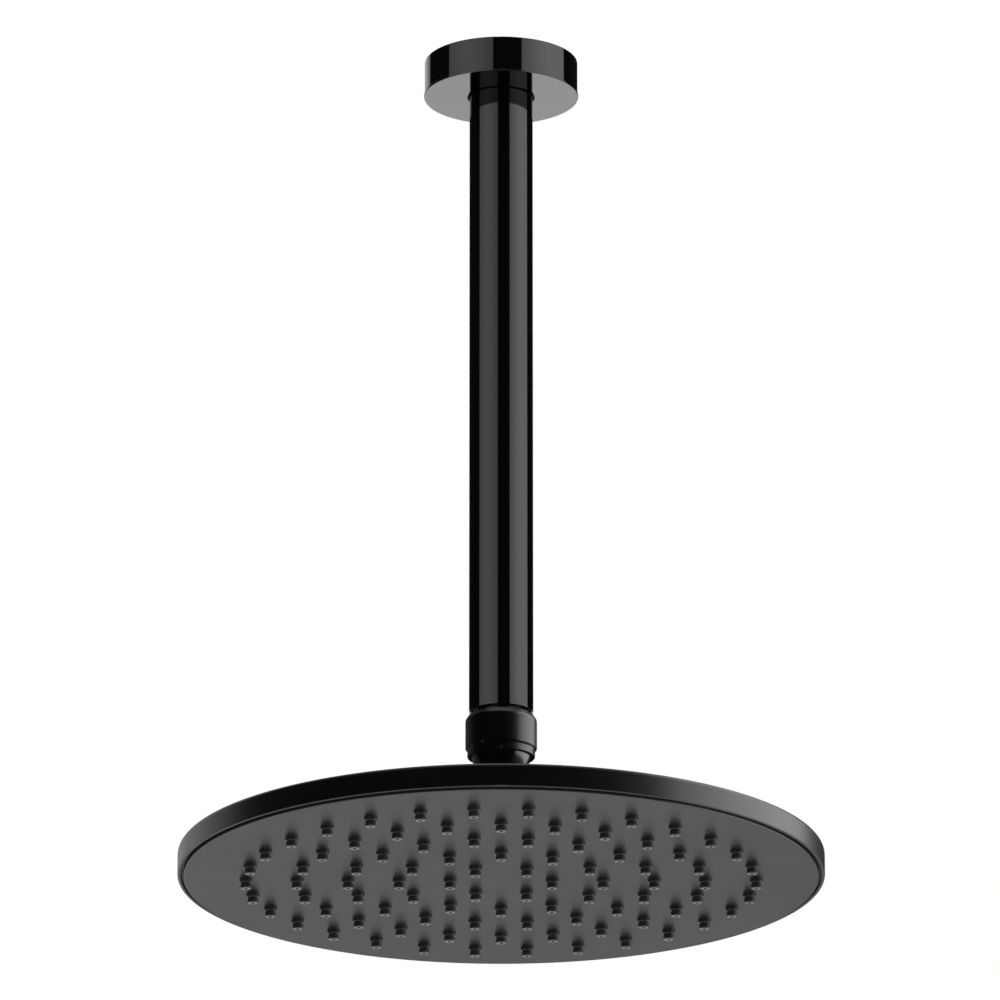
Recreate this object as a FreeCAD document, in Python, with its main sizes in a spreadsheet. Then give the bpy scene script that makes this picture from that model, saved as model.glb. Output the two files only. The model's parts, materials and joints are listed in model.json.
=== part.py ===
import FreeCAD, Part
import math
import os
import Sketcher

# Ceiling-mounted rain shower: a threaded arm tube, a round cover flange that slides on it,
# a ball-jointed swivel nut and a round head with rings of soft spray nozzles.
#
# Frame: +Z up. The origin is the centre of the arm's shoulder under its pipe thread, which meets
# the ceiling fitting. The flange's rim stands above it, on the ceiling, and hides the fitting.
# The arm hangs down along -Z. All lengths are in millimetres.
#
# Turned pieces are outlines of (radius, height) revolved about Z. Each piece is drawn at a
# natural level of its own, such as the ball's centre, and its Placement puts it there.


# ---- driving sizes ---------------------------------------------------------------------------

SIZES = {
    # arm
    "tube_outer": 25.0,
    "tube_wall": 1.5,
    "arm_drop": 260.2,
    "thread_outer": 20.955,
    "inlet_thread_length": 12.0,
    "inlet_shoulder": 2.0,
    "inlet_nose": 4.5,
    "inlet_nose_wall": 2.3,
    "inlet_ring_section": 0.9,
    "spigot_bore": 13.0,
    "spigot_plug": 18.0,
    "thread_chamfer": 1.0,
    "outlet_thread_length": 5.3,
    # flow regulator in the outlet spigot
    "outlet_wall": 2.06,
    "regulator_height": 4.8,
    "regulator_floor": 1.6,
    "regulator_rim": 1.4,
    "regulator_post": 2.6,
    "regulator_ring_section": 0.9,
    "regulator_hole": 0.8,
    "regulator_hole_circle": 4.6,
    "regulator_holes": 8,
    # ceiling flange
    "flange_outer": 60.5,
    "flange_height": 14.4,
    "flange_stand": 9.3,
    "flange_wall": 1.6,
    "flange_floor": 2.2,
    "flange_lip": 0.35,
    "flange_lip_height": 0.9,
    "flange_bore_gap": 0.8,
    "flange_hub_wall": 3.7,
    "flange_hub_height": 4.6,
    "grip_ring_section": 0.9,
    "grip_ring_level": 2.4,
    # ball joint
    "neck_gap": 1.2,
    "ball_radius": 12.0,
    "ball_flat_ratio": 0.495,
    "ball_bore": 9.0,
    "nut_wall": 1.85,
    "nut_chamfer_width": 1.5,
    "nut_chamfer_height": 2.2,
    "nut_collar_wall": 1.1,
    "nut_collar_step": 0.6,
    "nut_lip": 3.0,
    "nut_lip_chamfer": 0.5,
    "seat_low_ratio": 0.3,
    "washer_rest": 1.6,
    "insert_sink": 0.2,
    "washer_thickness": 1.7,
    "mesh_thickness": 0.6,
    "mesh_hole": 0.55,
    "mesh_pitch": 1.8,
    "mesh_rings": 3,
    # stem that carries the head
    "journal_wall": 2.5,
    "stem_shoulder": 0.5,
    "stem_drop": 21.6,
    "collar_stand": 1.5,
    "collar_thickness": 1.9,
    "stem_ring_section": 0.75,
    "stem_ring_spacing": 5.0,
    "stem_ring_level": 4.0,
    "thrust_washer": 1.0,
    "thrust_washer_width": 3.5,
    "stem_nut_height": 4.0,
    "stem_nut_wall": 2.5,
    "stem_end": 0.7,
    # head
    "head_outer": 250.0,
    "rim_height": 9.0,
    "shell_wall": 1.2,
    "rim_edge": 0.35,
    "rim_top_edge": 1.0,
    "dome_rise": 10.0,
    "dome_radius": 520.0,
    "land_radius": 24.0,
    "boss_wall": 8.0,
    "boss_stand": 10.5,
    "boss_flange_width": 6.0,
    "boss_flange": 1.8,
    "boss_chamfer": 1.2,
    "face_drop": 0.8,
    "face_gap": 1.15,
    "face_sheet": 1.0,
    "face_flange": 5.2,
    "face_edge": 0.4,
    "seal_level": 1.4,
    "seal_height": 2.6,
    "mat_margin": 5.65,
    "mat_sheet": 1.6,
    "backing_sheet": 1.5,
    "backing_hole": 1.9,
    # spray nozzles
    "nozzle_rings": 5,
    "nozzle_margin": 11.5,
    "first_ring_count": 6,
    "nozzle_base": 2.5,
    "nozzle_tip": 2.15,
    "nozzle_stand": 3.6,
    "nozzle_edge": 0.3,
    "nozzle_inlet": 1.5,
    "nozzle_jet": 0.65,
    "nozzle_jet_length": 2.0,
    # weld studs that clamp the mat
    "stud_radius": 1.5,
    "stud_margin": 6.0,
    "stud_count": 8,
    "stud_nut_height": 2.4,
    "stud_nut_flats": 5.5,
    "stud_end": 0.6,
    # clearances
    "running_gap": 0.05,
    "snug_gap": 0.02,
    "sliding_gap": 0.1,
    "nozzle_gap": 0.1,
}


class Size:
    """A length: its value, and the sheet expression that gives the same value."""

    def __init__(self, value, text):
        self.value = value
        self.text = text

    def joined(self, other, sign, value):
        return Size(value, "(%s %s %s)" % (self.text, sign, other.text))

    def __add__(self, other):
        other = as_size(other)
        return self.joined(other, "+", self.value + other.value)

    def __sub__(self, other):
        other = as_size(other)
        return self.joined(other, "-", self.value - other.value)

    def __mul__(self, other):
        other = as_size(other)
        return self.joined(other, "*", self.value * other.value)

    def __truediv__(self, other):
        other = as_size(other)
        return self.joined(other, "/", self.value / other.value)

    def __neg__(self):
        return Size(-self.value, "(-1 * %s)" % self.text)


def as_size(value):
    """A plain number as a Size, so that both can be mixed in one formula."""
    return value if isinstance(value, Size) else Size(value, repr(value))


def height_on_ball(radius, out):
    """Height above a ball's centre at which its surface is this far out from the axis."""
    value = math.sqrt(radius.value ** 2 - out.value ** 2)
    return Size(value, "sqrt(%s ^ 2 - %s ^ 2)" % (radius.text, out.text))


class Sizes:
    """The sheet's cells by name: dim.tube_outer is the Size of the cell tube_outer."""

    def __getattr__(self, alias):
        return Size(SIZES[alias], "Sizes." + alias)


dim = Sizes()
ZERO = Size(0.0, "0")

doc = FreeCAD.newDocument("RainShower")


def fill_sheet():
    """Write every driving size to its own named cell."""
    sheet = doc.addObject("Spreadsheet::Sheet", "Sizes")
    for row, (alias, value) in enumerate(SIZES.items(), start=1):
        sheet.set("A%d" % row, alias)
        sheet.set("B%d" % row, str(value))
        sheet.setAlias("B%d" % row, alias)
    doc.recompute()


# ---- sizes that follow from the driving ones -------------------------------------------------

tube_radius = dim.tube_outer / 2
tube_bore_radius = tube_radius - dim.tube_wall
thread_radius = dim.thread_outer / 2
spigot_bore_radius = dim.spigot_bore / 2
socket_radius = dim.ball_radius + dim.running_gap
nut_radius = socket_radius + dim.nut_wall
nut_collar_radius = socket_radius + dim.nut_collar_wall
insert_radius = socket_radius - dim.snug_gap
female_thread_radius = thread_radius + dim.running_gap
ball_flat = dim.ball_radius * dim.ball_flat_ratio
seat_low = dim.ball_radius * dim.seat_low_ratio
seat_high = height_on_ball(socket_radius, thread_radius - dim.washer_rest)
insert_floor = seat_high + dim.running_gap
washer_top = insert_floor + dim.washer_thickness
nut_above_ball = washer_top + dim.sliding_gap + dim.outlet_thread_length - dim.neck_gap
regulator_pocket_radius = thread_radius - dim.outlet_wall
regulator_radius = regulator_pocket_radius - dim.snug_gap
inlet_nose_radius = spigot_bore_radius + dim.inlet_nose_wall
flange_bore_radius = tube_radius + dim.flange_bore_gap
ball_bore_radius = dim.ball_bore / 2
journal_radius = ball_bore_radius + dim.journal_wall
journal_bore_radius = journal_radius + dim.running_gap
stem_radius = journal_radius + dim.stem_shoulder
stem_nut_flats = (journal_radius + dim.stem_nut_wall) * 2
boss_radius = journal_radius + dim.boss_wall

rim_radius = dim.head_outer / 2
rim_bore_radius = rim_radius - dim.shell_wall
face_radius = rim_bore_radius - dim.face_gap
face_top = dim.face_sheet - dim.face_drop
mat_radius = face_radius - dim.face_sheet - dim.mat_margin
stud_circle_radius = mat_radius - dim.stud_margin
ring_pitch = (stud_circle_radius - dim.nozzle_margin) / dim.nozzle_rings
mat_top = face_top + dim.mat_sheet
backing_top = mat_top + dim.backing_sheet
stud_hole_radius = dim.stud_radius + dim.sliding_gap
land_top = dim.rim_height + dim.dome_rise
land_bottom = land_top - dim.shell_wall
boss_bottom = land_bottom - dim.boss_flange
boss_top = land_top + dim.boss_stand

# Levels: the height of each group's own zero in the shower's frame.
shoulder_level = ZERO
flange_level = dim.flange_stand - dim.flange_height
arm_end_level = -dim.arm_drop
ball_level = arm_end_level - dim.neck_gap - nut_above_ball
head_below_ball = dim.stem_drop + dim.sliding_gap + boss_top
head_level = ball_level - head_below_ball


# ---- drawing helpers -------------------------------------------------------------------------

def new_body(name, level):
    """An empty body with its own zero at the given level."""
    body = doc.addObject("PartDesign::Body", name)
    body.Label = name
    body.setExpression("Placement.Base.z", level.text)
    return body


def origin_item(body, role):
    """The plane or axis of the body's own origin that has this role."""
    return next(item for item in body.Origin.OriginFeatures if item.Role == role)


def new_sketch(body, name, plane):
    """An empty sketch on one of the body's origin planes."""
    sketch = body.newObject("Sketcher::SketchObject", name)
    sketch.AttachmentSupport = [(origin_item(body, plane), "")]
    sketch.MapMode = "FlatFace"
    return sketch


def bind(sketch, kind, geometry, vertex, size):
    """Constrain one coordinate of a vertex, or a circle's radius, to a sheet expression."""
    if kind == "Radius":
        index = sketch.addConstraint(Sketcher.Constraint(kind, geometry, size.value))
    else:
        index = sketch.addConstraint(Sketcher.Constraint(kind, geometry, vertex, size.value))
    sketch.setExpression("Constraints[%d]" % index, size.text)


def number(value):
    """The plain number of a Size, or of a first guess that a constraint then corrects."""
    return value.value if isinstance(value, Size) else value


def arc_between(start, end, centre, radius):
    """The short arc from start to end, and whether it is stored backwards."""
    angles = [math.atan2(point.y - centre.y, point.x - centre.x) for point in (start, end)]
    backwards = math.sin(angles[1] - angles[0]) < 0
    if backwards:
        angles.reverse()
    circle = Part.Circle(centre, FreeCAD.Vector(0, 0, 1), radius)
    return Part.ArcOfCircle(circle, angles[0], angles[1]), backwards


def dome_centre(start, end, radius):
    """Centre of an upward-bulging arc of this radius through two points."""
    chord = end - start
    middle = (start + end) * 0.5
    depth = math.sqrt(radius ** 2 - (chord.Length / 2) ** 2)
    across = FreeCAD.Vector(-chord.y, chord.x, 0).normalize()
    if across.y > 0:
        across = -across
    return middle + across * depth


def outline(body, name, points, plane="XZ_Plane", ball_arcs=None, dome_arcs=None):
    """Closed outline through (across, up) points.

    A coordinate that is a Size is bound to the sheet. A plain number is a first guess, where an
    arc settles the point. ball_arcs and dome_arcs give the radius of the edge that starts at
    that point number: a ball arc is centred on the body's zero, a dome arc bulges upwards.
    """
    ball_arcs = ball_arcs or {}
    dome_arcs = dome_arcs or {}
    sketch = new_sketch(body, name, plane)
    corners = [FreeCAD.Vector(number(across), number(up), 0) for across, up in points]
    ends = []
    for index, start in enumerate(corners):
        end = corners[(index + 1) % len(corners)]
        backwards = False
        if index in ball_arcs:
            edge, backwards = arc_between(start, end, FreeCAD.Vector(), ball_arcs[index].value)
        elif index in dome_arcs:
            centre = dome_centre(start, end, dome_arcs[index].value)
            edge, backwards = arc_between(start, end, centre, dome_arcs[index].value)
        else:
            edge = Part.LineSegment(start, end)
        sketch.addGeometry(edge, False)
        ends.append((2, 1) if backwards else (1, 2))
    for index, (across, up) in enumerate(points):
        previous = index - 1 if index else len(points) - 1
        first, last = ends[index][0], ends[previous][1]
        sketch.addConstraint(Sketcher.Constraint("Coincident", previous, last, index, first))
        if isinstance(across, Size):
            bind(sketch, "DistanceX", index, first, across)
        if isinstance(up, Size):
            bind(sketch, "DistanceY", index, first, up)
    for index, radius in ball_arcs.items():
        sketch.addConstraint(Sketcher.Constraint("Coincident", index, 3, -1, 1))
        bind(sketch, "Radius", index, 0, radius)
    for index, radius in dome_arcs.items():
        bind(sketch, "Radius", index, 0, radius)
    return sketch


def circle_sketch(body, name, plane, across, up, radius):
    """A sketch of one circle; up may be None for a centre on the horizontal axis."""
    sketch = new_sketch(body, name, plane)
    centre = FreeCAD.Vector(across.value, up.value if up else 0.0, 0)
    sketch.addGeometry(Part.Circle(centre, FreeCAD.Vector(0, 0, 1), radius.value), False)
    bind(sketch, "DistanceX", 0, 3, across)
    if up:
        bind(sketch, "DistanceY", 0, 3, up)
    else:
        sketch.addConstraint(Sketcher.Constraint("PointOnObject", 0, 3, -1))
    bind(sketch, "Radius", 0, 0, radius)
    return sketch


def turn(body, sketch, name="Turned", axis="V_Axis"):
    """Revolve an outline a full turn about the body's Z or a line of the sketch."""
    feature = body.newObject("PartDesign::Revolution", name)
    feature.Profile = sketch
    feature.ReferenceAxis = (sketch, [axis])
    feature.Angle = 360
    sketch.Visibility = False
    return feature


def pad(body, sketch, length, name="Pad"):
    """Raise a sketch along +Z."""
    feature = body.newObject("PartDesign::Pad", name)
    feature.Profile = sketch
    feature.setExpression("Length", length.text)
    return feature


def must_cut(body, before, name):
    """Stop if a cut has taken nothing away."""
    doc.recompute()
    if body.Shape.Volume >= before - 1e-6:
        raise RuntimeError("%s: %s cuts nothing" % (body.Label, name))


def drill(body, sketch, name):
    """Cut a sketch on the XY plane upwards through the whole body."""
    doc.recompute()
    before = body.Shape.Volume
    feature = body.newObject("PartDesign::Pocket", name)
    feature.Profile = sketch
    feature.Type = "ThroughAll"
    feature.Reversed = True
    must_cut(body, before, name)
    return feature


def groove(body, sketch, name, axis="V_Axis"):
    """Cut a sketch turned a full turn about the body's Z or a line of the sketch."""
    doc.recompute()
    before = body.Shape.Volume
    feature = body.newObject("PartDesign::Groove", name)
    feature.Profile = sketch
    feature.ReferenceAxis = (sketch, [axis])
    feature.Angle = 360
    must_cut(body, before, name)
    return feature


def around(body, features, count, name):
    """Repeat features evenly about the body's Z."""
    pattern = body.newObject("PartDesign::PolarPattern", name)
    pattern.Originals = features
    pattern.Axis = (origin_item(body, "Z_Axis"), [""])
    pattern.Angle = 360
    pattern.setExpression("Occurrences", count.text)
    body.Tip = pattern
    return pattern


def ring_numbers():
    """The nozzle rings, counted from 1 at the centre."""
    return range(1, SIZES["nozzle_rings"] + 1)


def drill_nozzle_rings(body, radius):
    """One hole for each nozzle: ring k has k times the first ring's count."""
    for ring in ring_numbers():
        across = ring_pitch * ring
        sketch = circle_sketch(body, "HoleSketch%d" % ring, "XY_Plane", across, None, radius)
        hole = drill(body, sketch, "Hole%d" % ring)
        around(body, [hole], dim.first_ring_count * ring, "HoleRing%d" % ring)


def drill_stud_holes(body):
    """The circle of clearance holes that the weld studs pass through."""
    sketch = circle_sketch(body, "StudSketch", "XY_Plane", stud_circle_radius, None, stud_hole_radius)
    hole = drill(body, sketch, "StudHole")
    around(body, [hole], dim.stud_count, "StudHoles")


def ball_reach(radius, up):
    """Radius of a ball's surface at a height above its centre: a first guess for a sketch."""
    return math.sqrt(radius.value ** 2 - up.value ** 2)


def o_ring(name, level, centre_radius, centre_height, section):
    """A rubber ring of round section."""
    body = new_body(name, level)
    section_sketch = circle_sketch(body, "Section", "XZ_Plane", centre_radius, centre_height, section)
    turn(body, section_sketch)
    return body


def hexagon(body, name, across_flats, centre_across):
    """A hexagon on the XY plane with two corners on the X axis."""
    corner = across_flats / math.sqrt(3)
    points = []
    for along, aside in ((1, 0), (0.5, 0.5), (-0.5, 0.5), (-1, 0), (-0.5, -0.5), (0.5, -0.5)):
        points.append((centre_across + corner * along, across_flats * aside))
    return outline(body, name, points, plane="XY_Plane")


# ---- arm --------------------------------------------------------------------------------------

def make_arm_tube():
    """The straight tube, from the inlet's shoulder to the open lower end."""
    body = new_body("arm_tube", shoulder_level)
    sketch = outline(body, "Outline", [
        (tube_bore_radius, -dim.inlet_shoulder),
        (tube_radius, -dim.inlet_shoulder),
        (tube_radius, arm_end_level),
        (tube_bore_radius, arm_end_level),
    ])
    turn(body, sketch)


def make_inlet_spigot():
    """Male pipe thread that screws into the ceiling elbow, with a plug brazed in the tube."""
    body = new_body("inlet_spigot", shoulder_level)
    nose_start = dim.inlet_thread_length
    nose_end = nose_start + dim.inlet_nose
    sketch = outline(body, "Outline", [
        (spigot_bore_radius, -(dim.inlet_shoulder + dim.spigot_plug)),
        (tube_bore_radius, -(dim.inlet_shoulder + dim.spigot_plug)),
        (tube_bore_radius, -dim.inlet_shoulder),
        (tube_radius, -dim.inlet_shoulder),
        (tube_radius, ZERO),
        (thread_radius, ZERO),
        (thread_radius, nose_start),
        (inlet_nose_radius, nose_start + (thread_radius - inlet_nose_radius) / 2),
        (inlet_nose_radius, nose_end),
        (spigot_bore_radius, nose_end),
    ])
    turn(body, sketch)
    ring = circle_sketch(body, "RingGroove", "XZ_Plane", inlet_ring_radius(), inlet_ring_height(),
                         dim.inlet_ring_section)
    groove(body, ring, "Groove")


def inlet_ring_radius():
    """The inlet ring stands out of the nose by half its section."""
    return inlet_nose_radius - dim.inlet_ring_section / 2


def inlet_ring_height():
    """The inlet ring sits near the nose's free end."""
    return dim.inlet_thread_length + dim.inlet_nose - dim.inlet_ring_section * 2


def make_outlet_spigot():
    """Male pipe thread under the tube, bored out for the flow regulator."""
    body = new_body("outlet_spigot", arm_end_level)
    pocket_radius = regulator_pocket_radius
    pocket_top = -dim.outlet_thread_length + regulator_pocket()
    sketch = outline(body, "Outline", [
        (pocket_radius, -dim.outlet_thread_length),
        (thread_radius - dim.thread_chamfer / 2, -dim.outlet_thread_length),
        (thread_radius, -dim.outlet_thread_length + dim.thread_chamfer / 2),
        (thread_radius, ZERO),
        (tube_bore_radius, ZERO),
        (tube_bore_radius, dim.spigot_plug),
        (spigot_bore_radius, dim.spigot_plug),
        (spigot_bore_radius, pocket_top),
        (pocket_radius, pocket_top),
    ])
    turn(body, sketch)


def regulator_pocket():
    """Depth of the pocket that holds the flow regulator."""
    return dim.regulator_height + dim.snug_gap


def make_flow_regulator():
    """Plastic cup with a centre post and a ring of metering holes."""
    body = new_body("flow_regulator", arm_end_level - dim.outlet_thread_length)
    rim_radius_inside = regulator_radius - dim.regulator_rim
    floor = dim.regulator_floor
    sketch = circle_sketch(body, "FloorSketch", "XY_Plane", ZERO, None, regulator_radius)
    pad(body, sketch, dim.regulator_height, "Blank")
    trough = outline(body, "Trough", [
        (dim.regulator_post, floor),
        (rim_radius_inside, floor),
        (rim_radius_inside, dim.regulator_height),
        (dim.regulator_post, dim.regulator_height),
    ])
    groove(body, trough, "TroughCut")
    hole_sketch = circle_sketch(body, "MeterSketch", "XY_Plane", dim.regulator_hole_circle, None,
                                dim.regulator_hole)
    hole = drill(body, hole_sketch, "MeterHole")
    around(body, [hole], dim.regulator_holes, "MeterHoles")


def make_regulator_ring():
    """Rubber ring that narrows the metering holes as the pressure rises."""
    o_ring("regulator_ring", arm_end_level - dim.outlet_thread_length, dim.regulator_hole_circle,
           dim.regulator_floor + dim.regulator_ring_section, dim.regulator_ring_section)


# ---- ceiling flange ----------------------------------------------------------------------------

def make_ceiling_flange():
    """Turned cup with a hub around the tube; its zero is the visible underside."""
    body = new_body("ceiling_flange", flange_level)
    outer = dim.flange_outer / 2
    bore = flange_bore_radius
    hub = bore + dim.flange_hub_wall
    lip = outer + dim.flange_lip
    sketch = outline(body, "Outline", [
        (bore, ZERO),
        (outer, ZERO),
        (lip, dim.flange_lip),
        (lip, dim.flange_lip_height - dim.flange_lip),
        (outer, dim.flange_lip_height),
        (outer, dim.flange_height),
        (outer - dim.flange_wall, dim.flange_height),
        (outer - dim.flange_wall, dim.flange_floor),
        (hub, dim.flange_floor),
        (hub, dim.flange_hub_height),
        (bore, dim.flange_hub_height),
    ])
    turn(body, sketch)
    ring_groove = outline(body, "RingGroove", [
        (bore - dim.grip_ring_section, dim.grip_ring_level - dim.grip_ring_section),
        (grip_ring_radius() + dim.grip_ring_section, dim.grip_ring_level - dim.grip_ring_section),
        (grip_ring_radius() + dim.grip_ring_section, dim.grip_ring_level + dim.grip_ring_section),
        (bore - dim.grip_ring_section, dim.grip_ring_level + dim.grip_ring_section),
    ])
    groove(body, ring_groove, "RingGrooveCut")


def grip_ring_radius():
    """The grip ring runs on the tube with the running clearance."""
    return tube_radius + dim.running_gap + dim.grip_ring_section


def make_flange_grip_ring():
    """Rubber ring in the flange's hub that holds the flange where it is pushed."""
    o_ring("flange_grip_ring", flange_level, grip_ring_radius(), dim.grip_ring_level,
           dim.grip_ring_section)


# ---- swivel nut, drawn about the ball's centre -------------------------------------------------

def make_swivel_nut():
    """Nut with a spherical lip below the ball, open above for the ball and the insert."""
    body = new_body("swivel_nut", ball_level)
    outer = nut_radius
    collar = nut_collar_radius
    lip_guess = ball_reach(socket_radius, dim.nut_lip)
    sketch = outline(body, "Outline", [
        (ball_reach(socket_radius, ZERO), ZERO),
        (socket_radius, nut_above_ball),
        (outer - dim.nut_chamfer_width, nut_above_ball),
        (outer, nut_above_ball - dim.nut_chamfer_height),
        (outer, dim.nut_collar_step),
        (collar, dim.nut_collar_step - (outer - collar)),
        (collar, dim.nut_lip_chamfer - dim.nut_lip),
        (collar - dim.nut_lip_chamfer, -dim.nut_lip),
        (lip_guess, -dim.nut_lip),
    ], ball_arcs={8: socket_radius})
    turn(body, sketch)


def make_nut_insert():
    """Bush with the female pipe thread, pressed into the nut above the ball's seat."""
    body = new_body("nut_insert", ball_level)
    top = nut_above_ball - dim.insert_sink
    sketch = outline(body, "Outline", [
        (female_thread_radius, insert_floor),
        (insert_radius, insert_floor),
        (insert_radius, top),
        (female_thread_radius, top),
    ])
    turn(body, sketch)


def make_ball_seat():
    """Low-friction cup that seals on the ball's shoulder and carries the strainer's washer."""
    body = new_body("ball_seat", ball_level)
    sketch = outline(body, "Outline", [
        (ball_reach(socket_radius, seat_low), seat_low),
        (insert_radius, seat_low),
        (insert_radius, seat_high),
        (ball_reach(socket_radius, seat_high), seat_high),
    ], ball_arcs={3: socket_radius})
    turn(body, sketch)


def make_strainer_washer():
    """Rubber washer between the arm's thread and the ball's seat; it holds the mesh."""
    body = new_body("strainer_washer", ball_level)
    outer = female_thread_radius - dim.sliding_gap
    sketch = outline(body, "Outline", [
        (spigot_bore_radius, insert_floor),
        (outer, insert_floor),
        (outer, washer_top),
        (spigot_bore_radius, washer_top),
    ])
    turn(body, sketch)


def make_strainer_mesh():
    """Fine perforated disc that keeps grit out of the nozzles."""
    body = new_body("strainer_mesh", ball_level + insert_floor + dim.mesh_thickness)
    sketch = circle_sketch(body, "Disc", "XY_Plane", ZERO, None, spigot_bore_radius)
    pad(body, sketch, dim.mesh_thickness, "Disc")
    centre_hole = circle_sketch(body, "CentreSketch", "XY_Plane", ZERO, None, dim.mesh_hole)
    drill(body, centre_hole, "CentreHole")
    for ring in range(1, SIZES["mesh_rings"] + 1):
        across = dim.mesh_pitch * ring
        hole_sketch = circle_sketch(body, "MeshSketch%d" % ring, "XY_Plane", across, None,
                                    dim.mesh_hole)
        hole = drill(body, hole_sketch, "MeshHole%d" % ring)
        around(body, [hole], as_size(6) * ring, "MeshRing%d" % ring)


# ---- ball stud and what rides on it, drawn about the ball's centre -----------------------------

def stem_ring_groove(body, level, name):
    """One groove for a stem ring, cut into the journal."""
    section = dim.stem_ring_section
    floor = stem_ring_radius() - section
    sketch = outline(body, name + "Sketch", [
        (floor, level - section),
        (journal_radius + section, level - section),
        (journal_radius + section, level + section),
        (floor, level + section),
    ])
    groove(body, sketch, name)


def stem_ring_radius():
    """A stem ring's section centre: its outside is level with the journal."""
    return journal_radius - dim.stem_ring_section


def upper_stem_ring_level():
    """Level of the upper stem ring below the collar."""
    return -(dim.stem_drop + dim.stem_ring_level)


def journal_foot():
    """Level of the boss's underside, where the thrust washer runs."""
    return boss_bottom - head_below_ball - dim.sliding_gap


def stem_foot():
    """Level of the stem's lower end."""
    return journal_foot() - dim.thrust_washer - dim.stem_nut_height - dim.stem_end


def make_ball_stud():
    """Hollow ball with a stem: collar above the head's boss, journal in it, thread below it."""
    body = new_body("ball_stud", ball_level)
    bore = ball_bore_radius
    stem = stem_radius
    collar = stem_radius + dim.collar_stand
    sketch = outline(body, "Outline", [
        (bore, ball_flat),
        (ball_reach(dim.ball_radius, ball_flat), ball_flat),
        (stem, -ball_reach(dim.ball_radius, stem)),
        (stem, dim.collar_thickness - dim.stem_drop),
        (collar, dim.collar_thickness - dim.stem_drop),
        (collar, -dim.stem_drop),
        (journal_radius, -dim.stem_drop),
        (journal_radius, stem_foot() + dim.thread_chamfer),
        (journal_radius - dim.thread_chamfer, stem_foot()),
        (bore, stem_foot()),
    ], ball_arcs={1: dim.ball_radius})
    turn(body, sketch)
    stem_ring_groove(body, upper_stem_ring_level(), "UpperRingGroove")
    stem_ring_groove(body, upper_stem_ring_level() - dim.stem_ring_spacing, "LowerRingGroove")


def make_stem_rings():
    """The two rubber rings that seal the journal in the boss."""
    body = o_ring("stem_rings", ball_level, stem_ring_radius(), upper_stem_ring_level(),
                  dim.stem_ring_section)
    first_ring = body.Tip
    pattern = body.newObject("PartDesign::LinearPattern", "RingPair")
    pattern.Originals = [first_ring]
    pattern.Direction = (origin_item(body, "Z_Axis"), [""])
    pattern.Reversed = True
    pattern.setExpression("Length", dim.stem_ring_spacing.text)
    pattern.Occurrences = 2
    body.Tip = pattern


def make_thrust_washer():
    """Low-friction washer under the boss; the head hangs and turns on it."""
    body = new_body("thrust_washer", ball_level)
    top = journal_foot()
    outer = journal_radius + dim.thrust_washer_width
    sketch = outline(body, "Outline", [
        (journal_bore_radius, top - dim.thrust_washer),
        (outer, top - dim.thrust_washer),
        (outer, top),
        (journal_bore_radius, top),
    ])
    turn(body, sketch)


def make_stem_nut():
    """Hexagon nut on the stem's lower end."""
    body = new_body("stem_nut", ball_level + journal_foot() - dim.thrust_washer - dim.stem_nut_height)
    pad(body, hexagon(body, "Hexagon", stem_nut_flats, ZERO), dim.stem_nut_height)
    bore = circle_sketch(body, "Bore", "XY_Plane", ZERO, None, journal_radius)
    drill(body, bore, "BoreCut")


# ---- head, drawn from its lowest plane ---------------------------------------------------------

def make_back_shell():
    """Domed pan: straight rim, shallow dome and a flat land with the boss's hole."""
    body = new_body("back_shell", head_level)
    hole = boss_radius
    sketch = outline(body, "Outline", [
        (rim_bore_radius, ZERO),
        (rim_radius - dim.rim_edge, ZERO),
        (rim_radius, dim.rim_edge),
        (rim_radius, dim.rim_height - dim.rim_top_edge),
        (rim_radius - dim.rim_top_edge, dim.rim_height),
        (dim.land_radius, land_top),
        (hole, land_top),
        (hole, land_bottom),
        (dim.land_radius, land_bottom),
        (rim_bore_radius, dim.rim_height - dim.shell_wall),
    ], dome_arcs={4: dim.dome_radius, 8: dim.dome_radius})
    turn(body, sketch)


def make_head_boss():
    """Turned boss brazed into the shell's land; the ball stud's journal turns in it."""
    body = new_body("head_boss", head_level)
    flange = boss_radius + dim.boss_flange_width
    sketch = outline(body, "Outline", [
        (journal_bore_radius, boss_bottom),
        (flange, boss_bottom),
        (flange, land_bottom),
        (boss_radius, land_bottom),
        (boss_radius, boss_top - dim.boss_chamfer),
        (boss_radius - dim.boss_chamfer, boss_top),
        (journal_bore_radius, boss_top),
    ])
    turn(body, sketch)


def make_face_plate():
    """Shallow pan with a hole for each nozzle, held inside the rim and standing a little below it."""
    body = new_body("face_plate", head_level - dim.face_drop)
    disc = circle_sketch(body, "Disc", "XY_Plane", ZERO, None, face_radius)
    pad(body, disc, dim.face_flange, "Blank")
    inner = face_radius - dim.face_sheet
    hollow = outline(body, "Hollow", [
        (ZERO, dim.face_sheet),
        (inner, dim.face_sheet),
        (inner, dim.face_flange + dim.face_sheet),
        (ZERO, dim.face_flange + dim.face_sheet),
    ])
    groove(body, hollow, "HollowCut")
    edge = outline(body, "Edge", [
        (face_radius - dim.face_edge, ZERO),
        (face_radius + dim.face_edge, -dim.face_edge),
        (face_radius + dim.face_edge, dim.face_edge * 2),
    ])
    groove(body, edge, "EdgeChamfer")
    drill_nozzle_rings(body, dim.nozzle_base + dim.nozzle_gap)


def make_rim_seal():
    """Sealing bead that closes the gap between the face pan and the rim."""
    body = new_body("rim_seal", head_level)
    sketch = outline(body, "Outline", [
        (face_radius, dim.seal_level),
        (rim_bore_radius, dim.seal_level),
        (rim_bore_radius, dim.seal_level + dim.seal_height),
        (face_radius, dim.seal_level + dim.seal_height),
    ])
    turn(body, sketch)


def nozzle_tip_level():
    """Level of the nozzle tips from the mat's underside."""
    return -(dim.face_sheet + dim.nozzle_stand)


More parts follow.
